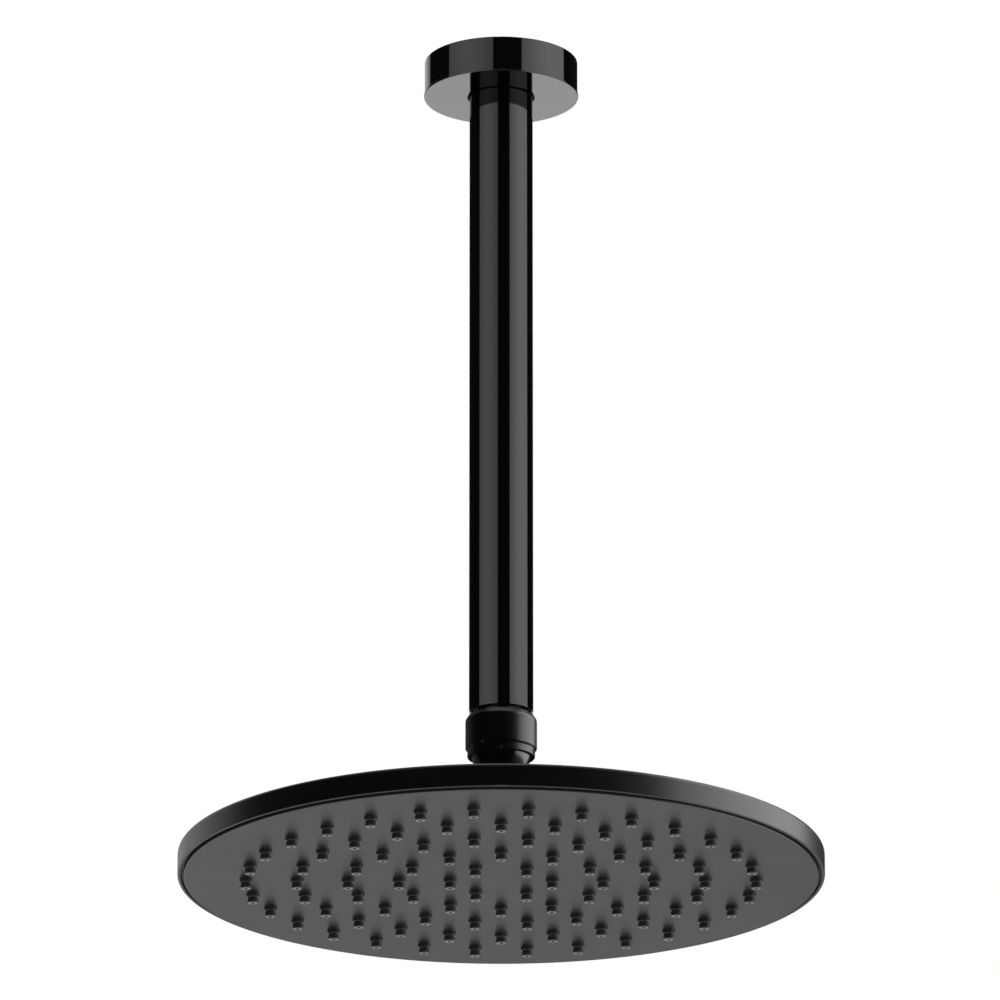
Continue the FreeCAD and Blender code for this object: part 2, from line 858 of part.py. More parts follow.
def add_nozzle_ring(body, ring):
    """One ring of hollow nozzles under the mat."""
    across = ring_pitch * ring
    tip = nozzle_tip_level()
    outside = outline(body, "NozzleSketch%d" % ring, [
        (across, dim.mat_sheet / 2),
        (across + dim.nozzle_base, dim.mat_sheet / 2),
        (across + dim.nozzle_base, ZERO),
        (across + dim.nozzle_tip, tip + dim.nozzle_edge),
        (across + dim.nozzle_tip - dim.nozzle_edge, tip),
        (across, tip),
    ])
    add_axis(outside, across)
    nozzle = turn(body, outside, "Nozzle%d" % ring, axis="Axis0")
    around(body, [nozzle], dim.first_ring_count * ring, "NozzleRing%d" % ring)
    inside = outline(body, "BoreSketch%d" % ring, [
        (across, dim.mat_sheet * 2),
        (across + dim.nozzle_inlet, dim.mat_sheet * 2),
        (across + dim.nozzle_inlet, tip + dim.nozzle_jet_length + dim.nozzle_inlet),
        (across + dim.nozzle_jet, tip + dim.nozzle_jet_length),
        (across + dim.nozzle_jet, tip * 2),
        (across, tip * 2),
    ])
    add_axis(inside, across)
    bore = groove(body, inside, "Bore%d" % ring, axis="Axis0")
    around(body, [bore], dim.first_ring_count * ring, "BoreRing%d" % ring)


def add_axis(sketch, across):
    """A vertical construction line to turn an outline about."""
    bottom = FreeCAD.Vector(across.value, 0, 0)
    top = FreeCAD.Vector(across.value, 1, 0)
    line = sketch.addGeometry(Part.LineSegment(bottom, top), True)
    bind(sketch, "DistanceX", line, 1, across)
    sketch.addConstraint(Sketcher.Constraint("PointOnObject", line, 1, -1))
    sketch.addConstraint(Sketcher.Constraint("Vertical", line))
    sketch.addConstraint(Sketcher.Constraint("DistanceY", line, 2, 1.0))


def make_nozzle_mat():
    """One soft sheet with every nozzle moulded on it."""
    body = new_body("nozzle_mat", head_level + face_top)
    disc = circle_sketch(body, "Disc", "XY_Plane", ZERO, None, mat_radius)
    pad(body, disc, dim.mat_sheet, "Sheet")
    drill_stud_holes(body)
    for ring in ring_numbers():
        add_nozzle_ring(body, ring)


def make_backing_plate():
    """Steel plate that presses the mat onto the face pan."""
    body = new_body("backing_plate", head_level + mat_top)
    disc = circle_sketch(body, "Disc", "XY_Plane", ZERO, None, mat_radius)
    pad(body, disc, dim.backing_sheet, "Sheet")
    drill_nozzle_rings(body, dim.backing_hole)
    drill_stud_holes(body)


def make_weld_studs():
    """Studs welded to the inside of the face pan."""
    body = new_body("weld_studs", head_level + face_top)
    sketch = circle_sketch(body, "Stud", "XY_Plane", stud_circle_radius, None, dim.stud_radius)
    height = dim.mat_sheet + dim.backing_sheet + dim.stud_nut_height + dim.stud_end
    stud = pad(body, sketch, height)
    around(body, [stud], dim.stud_count, "Studs")


def make_stud_nuts():
    """Hexagon nuts on the weld studs."""
    body = new_body("stud_nuts", head_level + backing_top)
    hexagon_sketch = hexagon(body, "Hexagon", dim.stud_nut_flats, stud_circle_radius)
    nut = pad(body, hexagon_sketch, dim.stud_nut_height)
    bore = circle_sketch(body, "Bore", "XY_Plane", stud_circle_radius, None, dim.stud_radius)
    hole = drill(body, bore, "BoreCut")
    around(body, [nut, hole], dim.stud_count, "Nuts")


# ---- build, check and write ---------------------------------------------------------------------

def check_objects():
    """Stop on any object that failed to build."""
    failed = [item.FullName for item in doc.Objects
              if "Invalid" in item.State or "Error" in item.State]
    if failed:
        raise RuntimeError("failed to build: " + ", ".join(failed))
    for body in bodies():
        if body.Shape.isNull() or not body.Shape.isValid() or not body.Shape.Solids:
            raise RuntimeError("%s has no valid solid" % body.Label)


def bodies():
    """Every sub-part of the document."""
    return [item for item in doc.Objects if item.TypeId == "PartDesign::Body"]


def write_parts():
    """One STEP file for each sub-part, named after it."""
    os.makedirs("parts", exist_ok=True)
    for body in bodies():
        body.Shape.exportStep("parts/%s.step" % body.Label)
        box = body.Shape.BoundBox
        print("%-18s %2d solid(s)  %10.1f mm3  z %8.2f to %8.2f" % (
            body.Label, len(body.Shape.Solids), body.Shape.Volume, box.ZMin, box.ZMax))


fill_sheet()
make_arm_tube()
make_inlet_spigot()
o_ring("inlet_ring", shoulder_level, inlet_ring_radius(), inlet_ring_height(), dim.inlet_ring_section)
make_outlet_spigot()
make_flow_regulator()
make_regulator_ring()
make_ceiling_flange()
make_flange_grip_ring()
make_swivel_nut()
make_nut_insert()
make_ball_seat()
make_strainer_washer()
make_strainer_mesh()
make_ball_stud()
make_stem_rings()
make_thrust_washer()
make_stem_nut()
make_back_shell()
make_head_boss()
make_face_plate()
make_rim_seal()
make_nozzle_mat()
make_backing_plate()
make_weld_studs()
make_stud_nuts()
doc.recompute()
check_objects()
write_parts()
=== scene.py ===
"""Ceiling rain shower: threaded arm, cover flange, swivel nut on a ball, and a wide head.

The visible pieces are turned, drilled and moulded here around the packed frame, in metres. The
parts inside come from the frame and are given their finishes here.
"""

import json
import math

import bmesh
import bpy
from bpy.props import FloatProperty, FloatVectorProperty, IntProperty, PointerProperty
from mathutils import Matrix, Vector

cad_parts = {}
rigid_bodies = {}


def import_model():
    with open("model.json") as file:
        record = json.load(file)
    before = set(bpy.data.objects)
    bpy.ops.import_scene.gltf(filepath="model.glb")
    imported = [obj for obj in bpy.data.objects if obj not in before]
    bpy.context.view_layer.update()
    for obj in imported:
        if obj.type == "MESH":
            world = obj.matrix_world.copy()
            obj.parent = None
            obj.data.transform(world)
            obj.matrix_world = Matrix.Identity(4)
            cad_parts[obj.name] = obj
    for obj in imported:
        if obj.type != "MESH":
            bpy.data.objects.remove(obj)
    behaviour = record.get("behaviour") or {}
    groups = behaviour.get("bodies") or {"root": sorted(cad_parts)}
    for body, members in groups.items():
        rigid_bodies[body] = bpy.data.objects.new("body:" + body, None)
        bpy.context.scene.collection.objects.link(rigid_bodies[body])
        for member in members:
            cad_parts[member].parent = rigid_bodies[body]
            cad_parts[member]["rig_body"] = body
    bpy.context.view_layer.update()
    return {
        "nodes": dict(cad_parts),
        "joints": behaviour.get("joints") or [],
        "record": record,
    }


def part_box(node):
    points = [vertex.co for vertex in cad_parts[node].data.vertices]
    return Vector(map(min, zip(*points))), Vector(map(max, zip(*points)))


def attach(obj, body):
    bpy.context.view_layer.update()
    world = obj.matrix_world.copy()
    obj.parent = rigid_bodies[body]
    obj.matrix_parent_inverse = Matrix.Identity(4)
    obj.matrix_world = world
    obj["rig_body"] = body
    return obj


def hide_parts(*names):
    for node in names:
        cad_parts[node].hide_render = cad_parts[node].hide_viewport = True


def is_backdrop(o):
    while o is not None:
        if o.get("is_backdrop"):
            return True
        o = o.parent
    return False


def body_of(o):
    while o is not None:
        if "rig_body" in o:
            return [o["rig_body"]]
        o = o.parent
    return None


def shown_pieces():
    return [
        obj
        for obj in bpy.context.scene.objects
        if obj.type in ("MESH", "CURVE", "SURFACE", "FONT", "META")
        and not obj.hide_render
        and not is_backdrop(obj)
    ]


bl_info = {
    "name": "Ceiling Rain Shower",
    "version": (1, 0, 0),
    "blender": (4, 5, 0),
    "location": "View3D > Sidebar > Shower",
    "description": "Turns, drills and finishes a ceiling rain shower around its frame",
    "category": "Object",
}

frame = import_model()

MM = 0.001
FULL_TURN = 2 * math.pi
SAME_POINT = 1e-7
SAME_LEVEL = 1e-6
BALL_CENTRE = next(j for j in frame["joints"] if j["name"] == "head_tilt")["pos_m"][2]

# Corner roundings, from an edge that is barely broken to a wide one.
KEEN_EDGE = 0.12 * MM
JET_EDGE = 0.14 * MM
BROKEN_EDGE = 0.15 * MM
FINE_EDGE = 0.2 * MM
LIGHT_EDGE = 0.25 * MM
EASED_EDGE = 0.3 * MM
FIRM_EDGE = 0.35 * MM
SOFT_EDGE = 0.4 * MM
ROUND_EDGE = 0.5 * MM
WIDE_EDGE = 1.2 * MM

# Gaps of brazed joints, of faces that meet, and of the journal in its boss.
BRAZE_GAP, FIT_GAP, RUNNING_GAP = 0.03 * MM, 0.02 * MM, 0.05 * MM

# A straight longer than LONG_STRAIGHT is split HELD_END away from each of its ends.
LONG_STRAIGHT, HELD_END = 3 * MM, 0.5 * MM

# The angle between two faces from which their edge shows sharp, and how much more large faces
# count than small ones in smooth shading.
SHARP_FROM = math.radians(38)
LARGE_FACE_WEIGHT = 60

# A thread's ridge: how deep it is sunk in its core, its half widths at foot and crest as shares of
# the pitch, and its steps in one turn.
THREAD_SUNK = 0.15 * MM
THREAD_FOOT, THREAD_LAND = 0.44, 0.1
THREAD_STEPS = 72


def reach(node):
    """Outer radius, lowest level and highest level of a frame node."""
    low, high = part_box(node)
    return high.x, low.z, high.z


# ---- turning, drilling and moulding ------------------------------------------------------------

class HalfSection:
    """Half section of a turned piece, drawn point by point in the plane of X (out) and Z (up)."""

    def __init__(self, out, up):
        self.bm = bmesh.new()
        self.first = bmesh.ops.create_vert(self.bm, co=(out, 0, up))["vert"][0]
        self.tip = self.first
        self.corners = []

    def to(self, out, up, ease=0.0):
        """Straight line to a point, whose corner is eased by this much."""
        self.tip = bmesh.ops.extrude_vert_indiv(self.bm, verts=[self.tip])["verts"][0]
        self.tip.co = (out, 0, up)
        if ease:
            self.corners.append((self.tip, ease))
        return self

    def swing(self, centre_out, centre_up, angle, steps):
        """Arc about a centre; a positive angle turns from out towards up."""
        spun = bmesh.ops.spin(self.bm, geom=[self.tip], cent=(centre_out, 0, centre_up),
                              axis=(0, -1, 0), angle=angle, steps=steps)
        self.tip = spun["geom_last"][0]
        return self

    def bow(self, out, up, radius, steps):
        """Shallow arc of a given radius to a point, with its centre below the chord."""
        start, end = self.tip.co.copy(), Vector((out, 0, up))
        half = (end - start) / 2
        drop = math.sqrt(radius ** 2 - half.length_squared)
        across = Vector((half.z, 0, -half.x)).normalized()
        if across.z > 0:
            across = -across
        centre = start + half + across * drop
        angle = 2 * math.asin(half.length / radius)
        turn = angle if out < start.x else -angle
        return self.swing(centre.x, centre.z, turn, steps)

    def ease_first(self, amount):
        """Ease the corner at the first point too."""
        self.corners.append((self.first, amount))
        return self

    def ease_corners(self, segments):
        """Round every corner that was given an ease."""
        for corner, amount in self.corners:
            bmesh.ops.bevel(self.bm, geom=[corner], offset=amount, offset_type="OFFSET",
                            affect="VERTICES", segments=segments, profile=0.5, material=-1)

    def hold_straights(self, longest, near):
        """Split long straights close to their ends, so wear and shading stay at the corners."""
        for edge in [edge for edge in self.bm.edges if edge.calc_length() > longest]:
            for end in edge.verts[:]:
                bmesh.utils.edge_split(edge, end, near / edge.calc_length())

    def turned(self, steps, segments=3, centre=(0, 0, 0), closed=True):
        """Spin the section once round a vertical axis and return its mesh."""
        if closed:
            bmesh.ops.contextual_create(self.bm, geom=[self.tip, self.first])
        self.ease_corners(segments)
        self.hold_straights(LONG_STRAIGHT, HELD_END)
        bmesh.ops.spin(self.bm, geom=self.bm.verts[:] + self.bm.edges[:], cent=centre,
                       axis=(0, 0, 1), angle=FULL_TURN, steps=steps, use_merge=True)
        tidy(self.bm)
        return self.bm


def tidy(bm):
    """Merge doubles, then turn every face outwards."""
    bmesh.ops.remove_doubles(bm, verts=bm.verts[:], dist=SAME_POINT)
    bmesh.ops.recalc_face_normals(bm, faces=bm.faces[:])


def loops_at(bm, level, outward_of=0.0):
    """Open edges that lie at one level, further out than a radius."""
    return [edge for edge in bm.edges
            if len(edge.link_faces) < 2
            and all(abs(vert.co.z - level) < SAME_LEVEL for vert in edge.verts)
            and all(vert.co.xy.length > outward_of for vert in edge.verts)]


def add_ring_of_edges(bm, radius, level, segments, out=0.0):
    """A plain circle of edges about a point on +X."""
    made = bmesh.ops.create_circle(bm, cap_ends=False, radius=radius, segments=segments,
                                   matrix=Matrix.Translation((out, 0, level)))
    return made["verts"]


def repeat_round(bm, verts, count):
    """Copies of what these points carry, evenly round the vertical axis."""
    members = set(verts)
    edges = [edge for edge in bm.edges if members.issuperset(edge.verts)]
    faces = [face for face in bm.faces if members.issuperset(face.verts)]
    bmesh.ops.spin(bm, geom=verts + edges + faces, cent=(0, 0, 0), axis=(0, 0, 1),
                   angle=FULL_TURN * (count - 1) / count, steps=count - 1, use_duplicate=True)


def finished(bm, name, body, slot, nodes):
    """Make the mesh a piece that rides on a body and stands for its frame nodes."""
    mesh = bpy.data.meshes.new(name)
    bm.to_mesh(mesh)
    bm.free()
    mesh.shade_smooth()
    mesh.set_sharp_from_angle(angle=SHARP_FROM)
    mesh.materials.append(finish(slot))
    piece = bpy.data.objects.new(name, mesh)
    bpy.context.scene.collection.objects.link(piece)
    shading = piece.modifiers.new("even_shading", "WEIGHTED_NORMAL")
    shading.keep_sharp = True
    shading.weight = LARGE_FACE_WEIGHT
    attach(piece, body)
    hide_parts(*nodes)
    return piece


def pipe_thread(bm, crest, root, pitch, low, high):
    """A helical ridge with run-outs, closed at both ends, added around a core."""
    buried = root - THREAD_SUNK
    foot, land = pitch * THREAD_FOOT, pitch * THREAD_LAND
    middle = low + foot
    points = [(buried, middle - foot), (buried, middle + foot), (crest, middle + land),
              (crest, middle - land)]
    before = len(bm.verts)
    corners = [bmesh.ops.create_vert(bm, co=(x, 0, z))["vert"][0] for x, z in points]
    made = bmesh.ops.contextual_create(bm, geom=corners)
    rise = high - low - 2 * foot
    total = int(THREAD_STEPS * rise / pitch)
    ridge = corners + made["faces"] + made["faces"][0].edges[:]
    bmesh.ops.spin(bm, geom=ridge, cent=(0, 0, 0), axis=(0, 0, 1), dvec=(0, 0, rise / total),
                   angle=FULL_TURN * rise / pitch, steps=total)
    bm.verts.ensure_lookup_table()
    fade = THREAD_STEPS // 3
    for index in range(before, len(bm.verts)):
        vert = bm.verts[index]
        step = (index - before) // len(points)
        share = min(1.0, (step + 0.5) / fade, (total - step + 0.5) / fade)
        out = vert.co.xy.length
        wanted = buried + (out - buried) * share
        vert.co.xy *= wanted / out


# ---- finishes ----------------------------------------------------------------------------------

def effect_group(name, inputs, outputs):
    """An empty group with named number inputs and outputs, and a place on the object."""
    group = bpy.data.node_groups.new(name, "ShaderNodeTree")
    for label, default in inputs:
        socket = group.interface.new_socket(name=label, in_out="INPUT",
                                            socket_type="NodeSocketFloat")
        socket.default_value = default
    for label in outputs:
        group.interface.new_socket(name=label, in_out="OUTPUT", socket_type="NodeSocketFloat")
    start, end = group.nodes.new("NodeGroupInput"), group.nodes.new("NodeGroupOutput")
    return group, start, end, group.nodes.new("ShaderNodeTexCoord").outputs["Object"]


def calc(nodes, links, operation, *values):
    """One math step between numbers or sockets."""
    node = nodes.new("ShaderNodeMath")
    node.operation = operation
    for index, value in enumerate(values):
        if isinstance(value, (int, float)):
            node.inputs[index].default_value = value
        else:
            links.new(value, node.inputs[index])
    return node.outputs[0]


def noise(nodes, links, vector, scale, detail, roughness=0.5):
    """Soft noise over the object, as a number about a half."""
    node = nodes.new("ShaderNodeTexNoise")
    node.inputs["Detail"].default_value = detail
    node.inputs["Roughness"].default_value = roughness
    links.new(vector, node.inputs["Vector"])
    if isinstance(scale, (int, float)):
        node.inputs["Scale"].default_value = scale
    else:
        links.new(scale, node.inputs["Scale"])
    return node.outputs["Fac"]


# Shares of fine and coarse grain, shares of haze and streaks, how far a streak is drawn out along
# the arm, and how fast wear sets in at an edge.
FINE_SHARE, COARSE_SHARE = 0.7, 0.3
SLOW_SHARE, STREAK_SHARE, STREAK_STRETCH = 0.65, 0.35, 0.12
EDGE_GAIN = 14.0


def grain_group():
    """Fine spray grain: a height for bump and a mask for tone."""
    known = bpy.data.node_groups.get("spray_grain")
    if known:
        return known
    group, start, end, place = effect_group(
        "spray_grain", [("Scale", 2500.0), ("Mottle", 300.0)], ["Height", "Mask"])
    nodes, links = group.nodes, group.links
    fine = noise(nodes, links, place, start.outputs["Scale"], 2.0)
    coarse = noise(nodes, links, place, start.outputs["Mottle"], 3.0)
    both = calc(nodes, links, "ADD", calc(nodes, links, "MULTIPLY", fine, FINE_SHARE),
                calc(nodes, links, "MULTIPLY", coarse, COARSE_SHARE))
    links.new(both, end.inputs["Height"])
    links.new(coarse, end.inputs["Mask"])
    return group


def handling_group():
    """Faint wipe marks and water haze, as a slow mask."""
    known = bpy.data.node_groups.get("handling_marks")
    if known:
        return known
    group, start, end, place = effect_group(
        "handling_marks", [("Scale", 22.0), ("Streak", 90.0)], ["Mask"])
    nodes, links = group.nodes, group.links
    slow = noise(nodes, links, place, start.outputs["Scale"], 3.0, 0.6)
    stretch = nodes.new("ShaderNodeMapping")
    stretch.inputs["Scale"].default_value = (1.0, 1.0, STREAK_STRETCH)
    links.new(place, stretch.inputs["Vector"])
    streak = noise(nodes, links, stretch.outputs["Vector"], start.outputs["Streak"], 2.0)
    both = calc(nodes, links, "ADD", calc(nodes, links, "MULTIPLY", slow, SLOW_SHARE),
                calc(nodes, links, "MULTIPLY", streak, STREAK_SHARE))
    links.new(both, end.inputs["Mask"])
    return group


def edge_group():
    """Where an edge stands out and the finish is rubbed thin."""
    known = bpy.data.node_groups.get("rubbed_edges")
    if known:
        return known
    group, start, end, place = effect_group(
        "rubbed_edges", [("Start", 0.52), ("Break Up", 900.0)], ["Mask"])
    nodes, links = group.nodes, group.links
    point = nodes.new("ShaderNodeNewGeometry").outputs["Pointiness"]
    broken = noise(nodes, links, place, start.outputs["Break Up"], 2.0)
    above = calc(nodes, links, "SUBTRACT", point, start.outputs["Start"])
    raised = calc(nodes, links, "MULTIPLY", above, EDGE_GAIN)
    mask = calc(nodes, links, "MULTIPLY", raised, broken)
    clamp = nodes.new("ShaderNodeClamp")
    links.new(mask, clamp.inputs["Value"])
    links.new(clamp.outputs["Result"], end.inputs["Mask"])
    return group


def turning_group():
    """Fine rings that a lathe tool leaves, running round the arm's axis."""
    known = bpy.data.node_groups.get("turning_lines")
    if known:
        return known
    group, start, end, place = effect_group(
        "turning_lines", [("Scale", 5200.0)], ["Height", "Mask"])
    nodes, links = group.nodes, group.links
    split = nodes.new("ShaderNodeSeparateXYZ")
    links.new(place, split.inputs["Vector"])
    out = calc(nodes, links, "SQRT", calc(nodes, links, "ADD",
               calc(nodes, links, "MULTIPLY", split.outputs["X"], split.outputs["X"]),
               calc(nodes, links, "MULTIPLY", split.outputs["Y"], split.outputs["Y"])))
    along = calc(nodes, links, "ADD", out, split.outputs["Z"])
    line = nodes.new("ShaderNodeCombineXYZ")
    links.new(along, line.inputs["X"])
    rings = noise(nodes, links, line.outputs["Vector"], start.outputs["Scale"], 1.0)
    links.new(rings, end.inputs["Height"])
    links.new(rings, end.inputs["Mask"])
    return group


def place_group(material, group, **values):
    """A group in a material, with its own values."""
    node = material.node_tree.nodes.new("ShaderNodeGroup")
    node.node_tree = group
    for label, value in values.items():
        node.inputs[label.replace("_", " ")].default_value = value
    return node


# Each finish: its colour, the tone its rubbed edges wear to and how far, its roughness from clean
# to handled, the scales of its grain and mottle, and the grain's height in metres.
RECIPES = {
    "gloss_black": dict(
        colour="gloss_colour", worn=(0.03, 0.03, 0.032), wear=0.25, rough=(0.025, 0.05),
        grain=(900.0, 60.0), height=0.00000035, ior=1.5),
    "satin_black": dict(
        colour="satin_colour", worn=(0.05, 0.05, 0.052), wear=0.5, rough=(0.28, 0.36),
        grain=(1500.0, 420.0), height=0.00003, ior=1.5),
    "satin_face": dict(
        colour="face_colour", worn=(0.05, 0.05, 0.052), wear=0.15, rough=(0.30, 0.38),
        grain=(1100.0, 420.0), height=0.00005, ior=1.5),
    "black_plated_brass": dict(
        colour="satin_colour", worn=(0.09, 0.075, 0.05), wear=0.5, rough=(0.16, 0.24),
        grain=(2600.0, 300.0), height=0.000002, ior=1.55),
    "bare_brass": dict(
        colour="brass_colour", worn=(0.86, 0.7, 0.42), wear=0.6, rough=(0.2, 0.34),
        grain=(5200.0, 300.0), height=0.000004, ior=1.5, metallic=1.0, lathe=True),
    "nozzle_silicone": dict(
        colour="nozzle_colour", worn=(0.05, 0.05, 0.05), wear=0.2, rough=(0.34, 0.46),
        grain=(4200.0, 700.0), height=0.000003, ior=1.45),
    "seal_rubber": dict(
        colour="rubber_colour", worn=(0.04, 0.04, 0.04), wear=0.3, rough=(0.5, 0.66),
        grain=(5200.0, 900.0), height=0.000006, ior=1.5),
    "acetal": dict(
        colour="acetal_colour", worn=(0.9, 0.9, 0.88), wear=0.4, rough=(0.34, 0.46),
        grain=(3600.0, 500.0), height=0.000003, ior=1.48),
    "stainless": dict(
        colour="steel_colour", worn=(0.78, 0.78, 0.79), wear=0.6, rough=(0.24, 0.38),
        grain=(4800.0, 400.0), height=0.000003, ior=1.5, metallic=1.0, lathe=True),
}
DARK_TONE, LIGHT_TONE = 0.8, 1.2
CLEAN_MARK, HANDLED_MARK = 0.3, 0.7


def finish(slot):
    """The material of one finish, made the first time it is asked for."""
    name = slot + "_finish"
    known = bpy.data.materials.get(name)
    if known:
        return known
    recipe = RECIPES[slot]
    material = bpy.data.materials.new(name)
    material.use_nodes = True
    nodes, links = material.node_tree.nodes, material.node_tree.links
    shader = nodes["Principled BSDF"]
    shader.inputs["IOR"].default_value = recipe["ior"]
    shader.inputs["Metallic"].default_value = recipe.get("metallic", 0.0)
    size, mottle = recipe["grain"]
    marks = place_group(material, handling_group())
    edges = place_group(material, edge_group())
    if recipe.get("lathe"):
        surface = place_group(material, turning_group(), Scale=size)
    else:
        surface = place_group(material, grain_group(), Scale=size, Mottle=mottle)
    colour = tuple(getattr(bpy.context.scene.shower_finishes, recipe["colour"]))
    tone = nodes.new("ShaderNodeMix")
    tone.data_type = "RGBA"
    tone.inputs["A"].default_value = (*[channel * DARK_TONE for channel in colour], 1)
    light = [min(1.0, channel * LIGHT_TONE) for channel in colour]
    tone.inputs["B"].default_value = (*light, 1)
    links.new(surface.outputs["Mask"], tone.inputs["Factor"])
    rubbed = nodes.new("ShaderNodeMix")
    rubbed.data_type = "RGBA"
    rubbed.inputs["B"].default_value = (*recipe["worn"], 1)
    links.new(calc(nodes, links, "MULTIPLY", edges.outputs["Mask"], recipe["wear"]),
              rubbed.inputs["Factor"])
    links.new(tone.outputs["Result"], rubbed.inputs["A"])
    links.new(rubbed.outputs["Result"], shader.inputs["Base Color"])
    spread = nodes.new("ShaderNodeMapRange")
    spread.inputs["From Min"].default_value = CLEAN_MARK
    spread.inputs["From Max"].default_value = HANDLED_MARK
    spread.inputs["To Min"].default_value = recipe["rough"][0]
    spread.inputs["To Max"].default_value = recipe["rough"][1]
    links.new(marks.outputs["Mask"], spread.inputs["Value"])
    links.new(spread.outputs["Result"], shader.inputs["Roughness"])
    bump = nodes.new("ShaderNodeBump")
    bump.inputs["Distance"].default_value = recipe["height"]
    bump.inputs["Strength"].default_value = 1.0
    links.new(surface.outputs["Height"], bump.inputs["Height"])
    links.new(bump.outputs["Normal"], shader.inputs["Normal"])
    return material


# ---- sizes and colours that a user would change ------------------------------------------------

def length(name, description, default):
    """A length in metres."""
    return FloatProperty(name=name, description=description, default=default, min=0.0,
                         precision=5, unit="LENGTH", subtype="DISTANCE")


def colour(name, description, default):
    """A colour."""
    return FloatVectorProperty(name=name, description=description, default=default, size=3,
                               min=0.0, max=1.0, subtype="COLOR")


class ShowerArmSizes(bpy.types.PropertyGroup):
    """Arm, its two pipe threads and the cover flange."""
    tube_wall: length("Tube wall", "Wall of the arm's tube", 1.5 * MM)
    thread_crest: length("Thread crest radius", "Outside radius of the pipe thread", 10.4775 * MM)
    thread_root: length("Thread root radius", "Radius at the bottom of the thread", 9.3155 * MM)
    thread_pitch: length("Thread pitch", "Rise of the pipe thread in one turn", 1.814 * MM)
    inlet_length: length("Inlet thread length", "Length of thread above the arm", 12.0 * MM)
    water_bore: length("Water bore radius", "Radius of the water way", 6.5 * MM)
    nose_radius: length("Nose radius", "Radius of the plain nose above the inlet thread", 8.8 * MM)
    flange_wall: length("Flange wall", "Thickness of the flange's straight wall", 1.6 * MM)
    flange_floor: length("Flange floor", "Thickness of the flange's underside", 2.2 * MM)
    flange_lip: length("Flange lip", "How far the lip stands out of the wall", 0.35 * MM)
    flange_bore: length("Flange bore radius", "Radius of the hole that the tube passes", 13.3 * MM)
    hub_wall: length("Hub wall", "Thickness of the hub round the tube", 3.7 * MM)
    hub_height: length("Hub height", "Height of the hub from the underside", 8.5 * MM)


class ShowerNutSizes(bpy.types.PropertyGroup):
    """Swivel nut and the ball that hangs in it."""
    socket_radius: length("Socket radius", "Radius of the socket that holds the ball", 12.05 * MM)
    body_radius: length("Nut radius", "Outside radius of the nut", 13.9 * MM)
    collar_radius: length("Collar radius", "Outside radius of the nut's lower collar", 13.15 * MM)
    chamfer_width: length("Chamfer width", "Width of the chamfer on the nut's top", 1.5 * MM)
    chamfer_height: length("Chamfer height", "Height of the chamfer on the nut's top", 2.2 * MM)
    ball_radius: length("Ball radius", "Radius of the ball", 12.0 * MM)
    ball_flat: length("Ball flat", "Height of the ball's flat top above its centre", 5.94 * MM)
    ball_bore: length("Ball bore radius", "Radius of the water way in the ball", 4.5 * MM)
    stem_radius: length("Stem radius", "Radius of the ball's stem", 7.5 * MM)
    journal_radius: length("Journal radius", "Radius of the journal in the head's boss", 7.0 * MM)


class ShowerHeadSizes(bpy.types.PropertyGroup):
    """Shell, boss, face and nozzles of the head."""
    shell_wall: length("Shell wall", "Thickness of the shell", 1.2 * MM)
    rim_height: length("Rim height", "Height of the straight rim", 9.0 * MM)
    dome_radius: length("Dome radius", "Radius of the shallow dome", 520.0 * MM)
    land_radius: length("Land radius", "Radius of the flat at the dome's top", 24.0 * MM)
    boss_radius: length("Boss radius", "Outside radius of the boss", 15.0 * MM)
    face_sheet: length("Face sheet", "Thickness of the face plate", 1.0 * MM)
    hole_radius: length("Nozzle hole radius", "Radius of the holes in the face", 2.6 * MM)
    ring_pitch: length("Ring pitch", "Distance between rings of nozzles", 19.7 * MM)
    rings: IntProperty(name="Rings", description="Rings of nozzles", default=5, min=1)
    first_ring: IntProperty(name="First ring", description="Nozzles in the innermost ring",
                            default=6, min=3)
    nozzle_base: length("Nozzle base radius", "Radius where a nozzle leaves the mat", 2.5 * MM)
    nozzle_tip: length("Nozzle tip radius", "Radius of a nozzle at its tip", 2.1 * MM)
    foot_height: length("Foot height", "How far a nozzle's foot stands below the face", 1.3 * MM)
    jet_radius: length("Jet radius", "Radius of the hole in a nozzle's tip", 0.65 * MM)
    mat_radius: length("Mat radius", "Radius of the nozzles' mat", 116.0 * MM)
    mat_sheet: length("Mat sheet", "Thickness of the nozzles' mat", 1.6 * MM)
    stud_circle: length("Stud circle", "Radius of the circle of clamping studs", 110.0 * MM)
    stud_hole: length("Stud hole radius", "Radius of the stud holes in the mat", 1.6 * MM)
    studs: IntProperty(name="Studs", description="Number of clamping studs", default=8, min=3)


class ShowerFinishes(bpy.types.PropertyGroup):
    """Colours of the finishes."""
    gloss_colour: colour("Gloss black", "Arm and flange", (0.0012, 0.0012, 0.0013))
    satin_colour: colour("Satin black", "Nut, shell, boss and ball", (0.0012, 0.0012, 0.0013))
    face_colour: colour("Face black", "Face plate", (0.008, 0.008, 0.0082))
    nozzle_colour: colour("Nozzle black", "Soft nozzles", (0.014, 0.014, 0.014))
    rubber_colour: colour("Rubber", "Rings, washers and seals", (0.012, 0.012, 0.012))
    brass_colour: colour("Brass", "Bare brass pieces", (0.72, 0.52, 0.25))
    acetal_colour: colour("Acetal", "Ball seat, thrust washer, regulator", (0.78, 0.78, 0.76))
    steel_colour: colour("Steel", "Strainer, clamping plate, studs", (0.58, 0.58, 0.59))
    floor_colour: colour("Floor", "Pale floor", (0.86, 0.86, 0.86))


# ---- pieces ------------------------------------------------------------------------------------

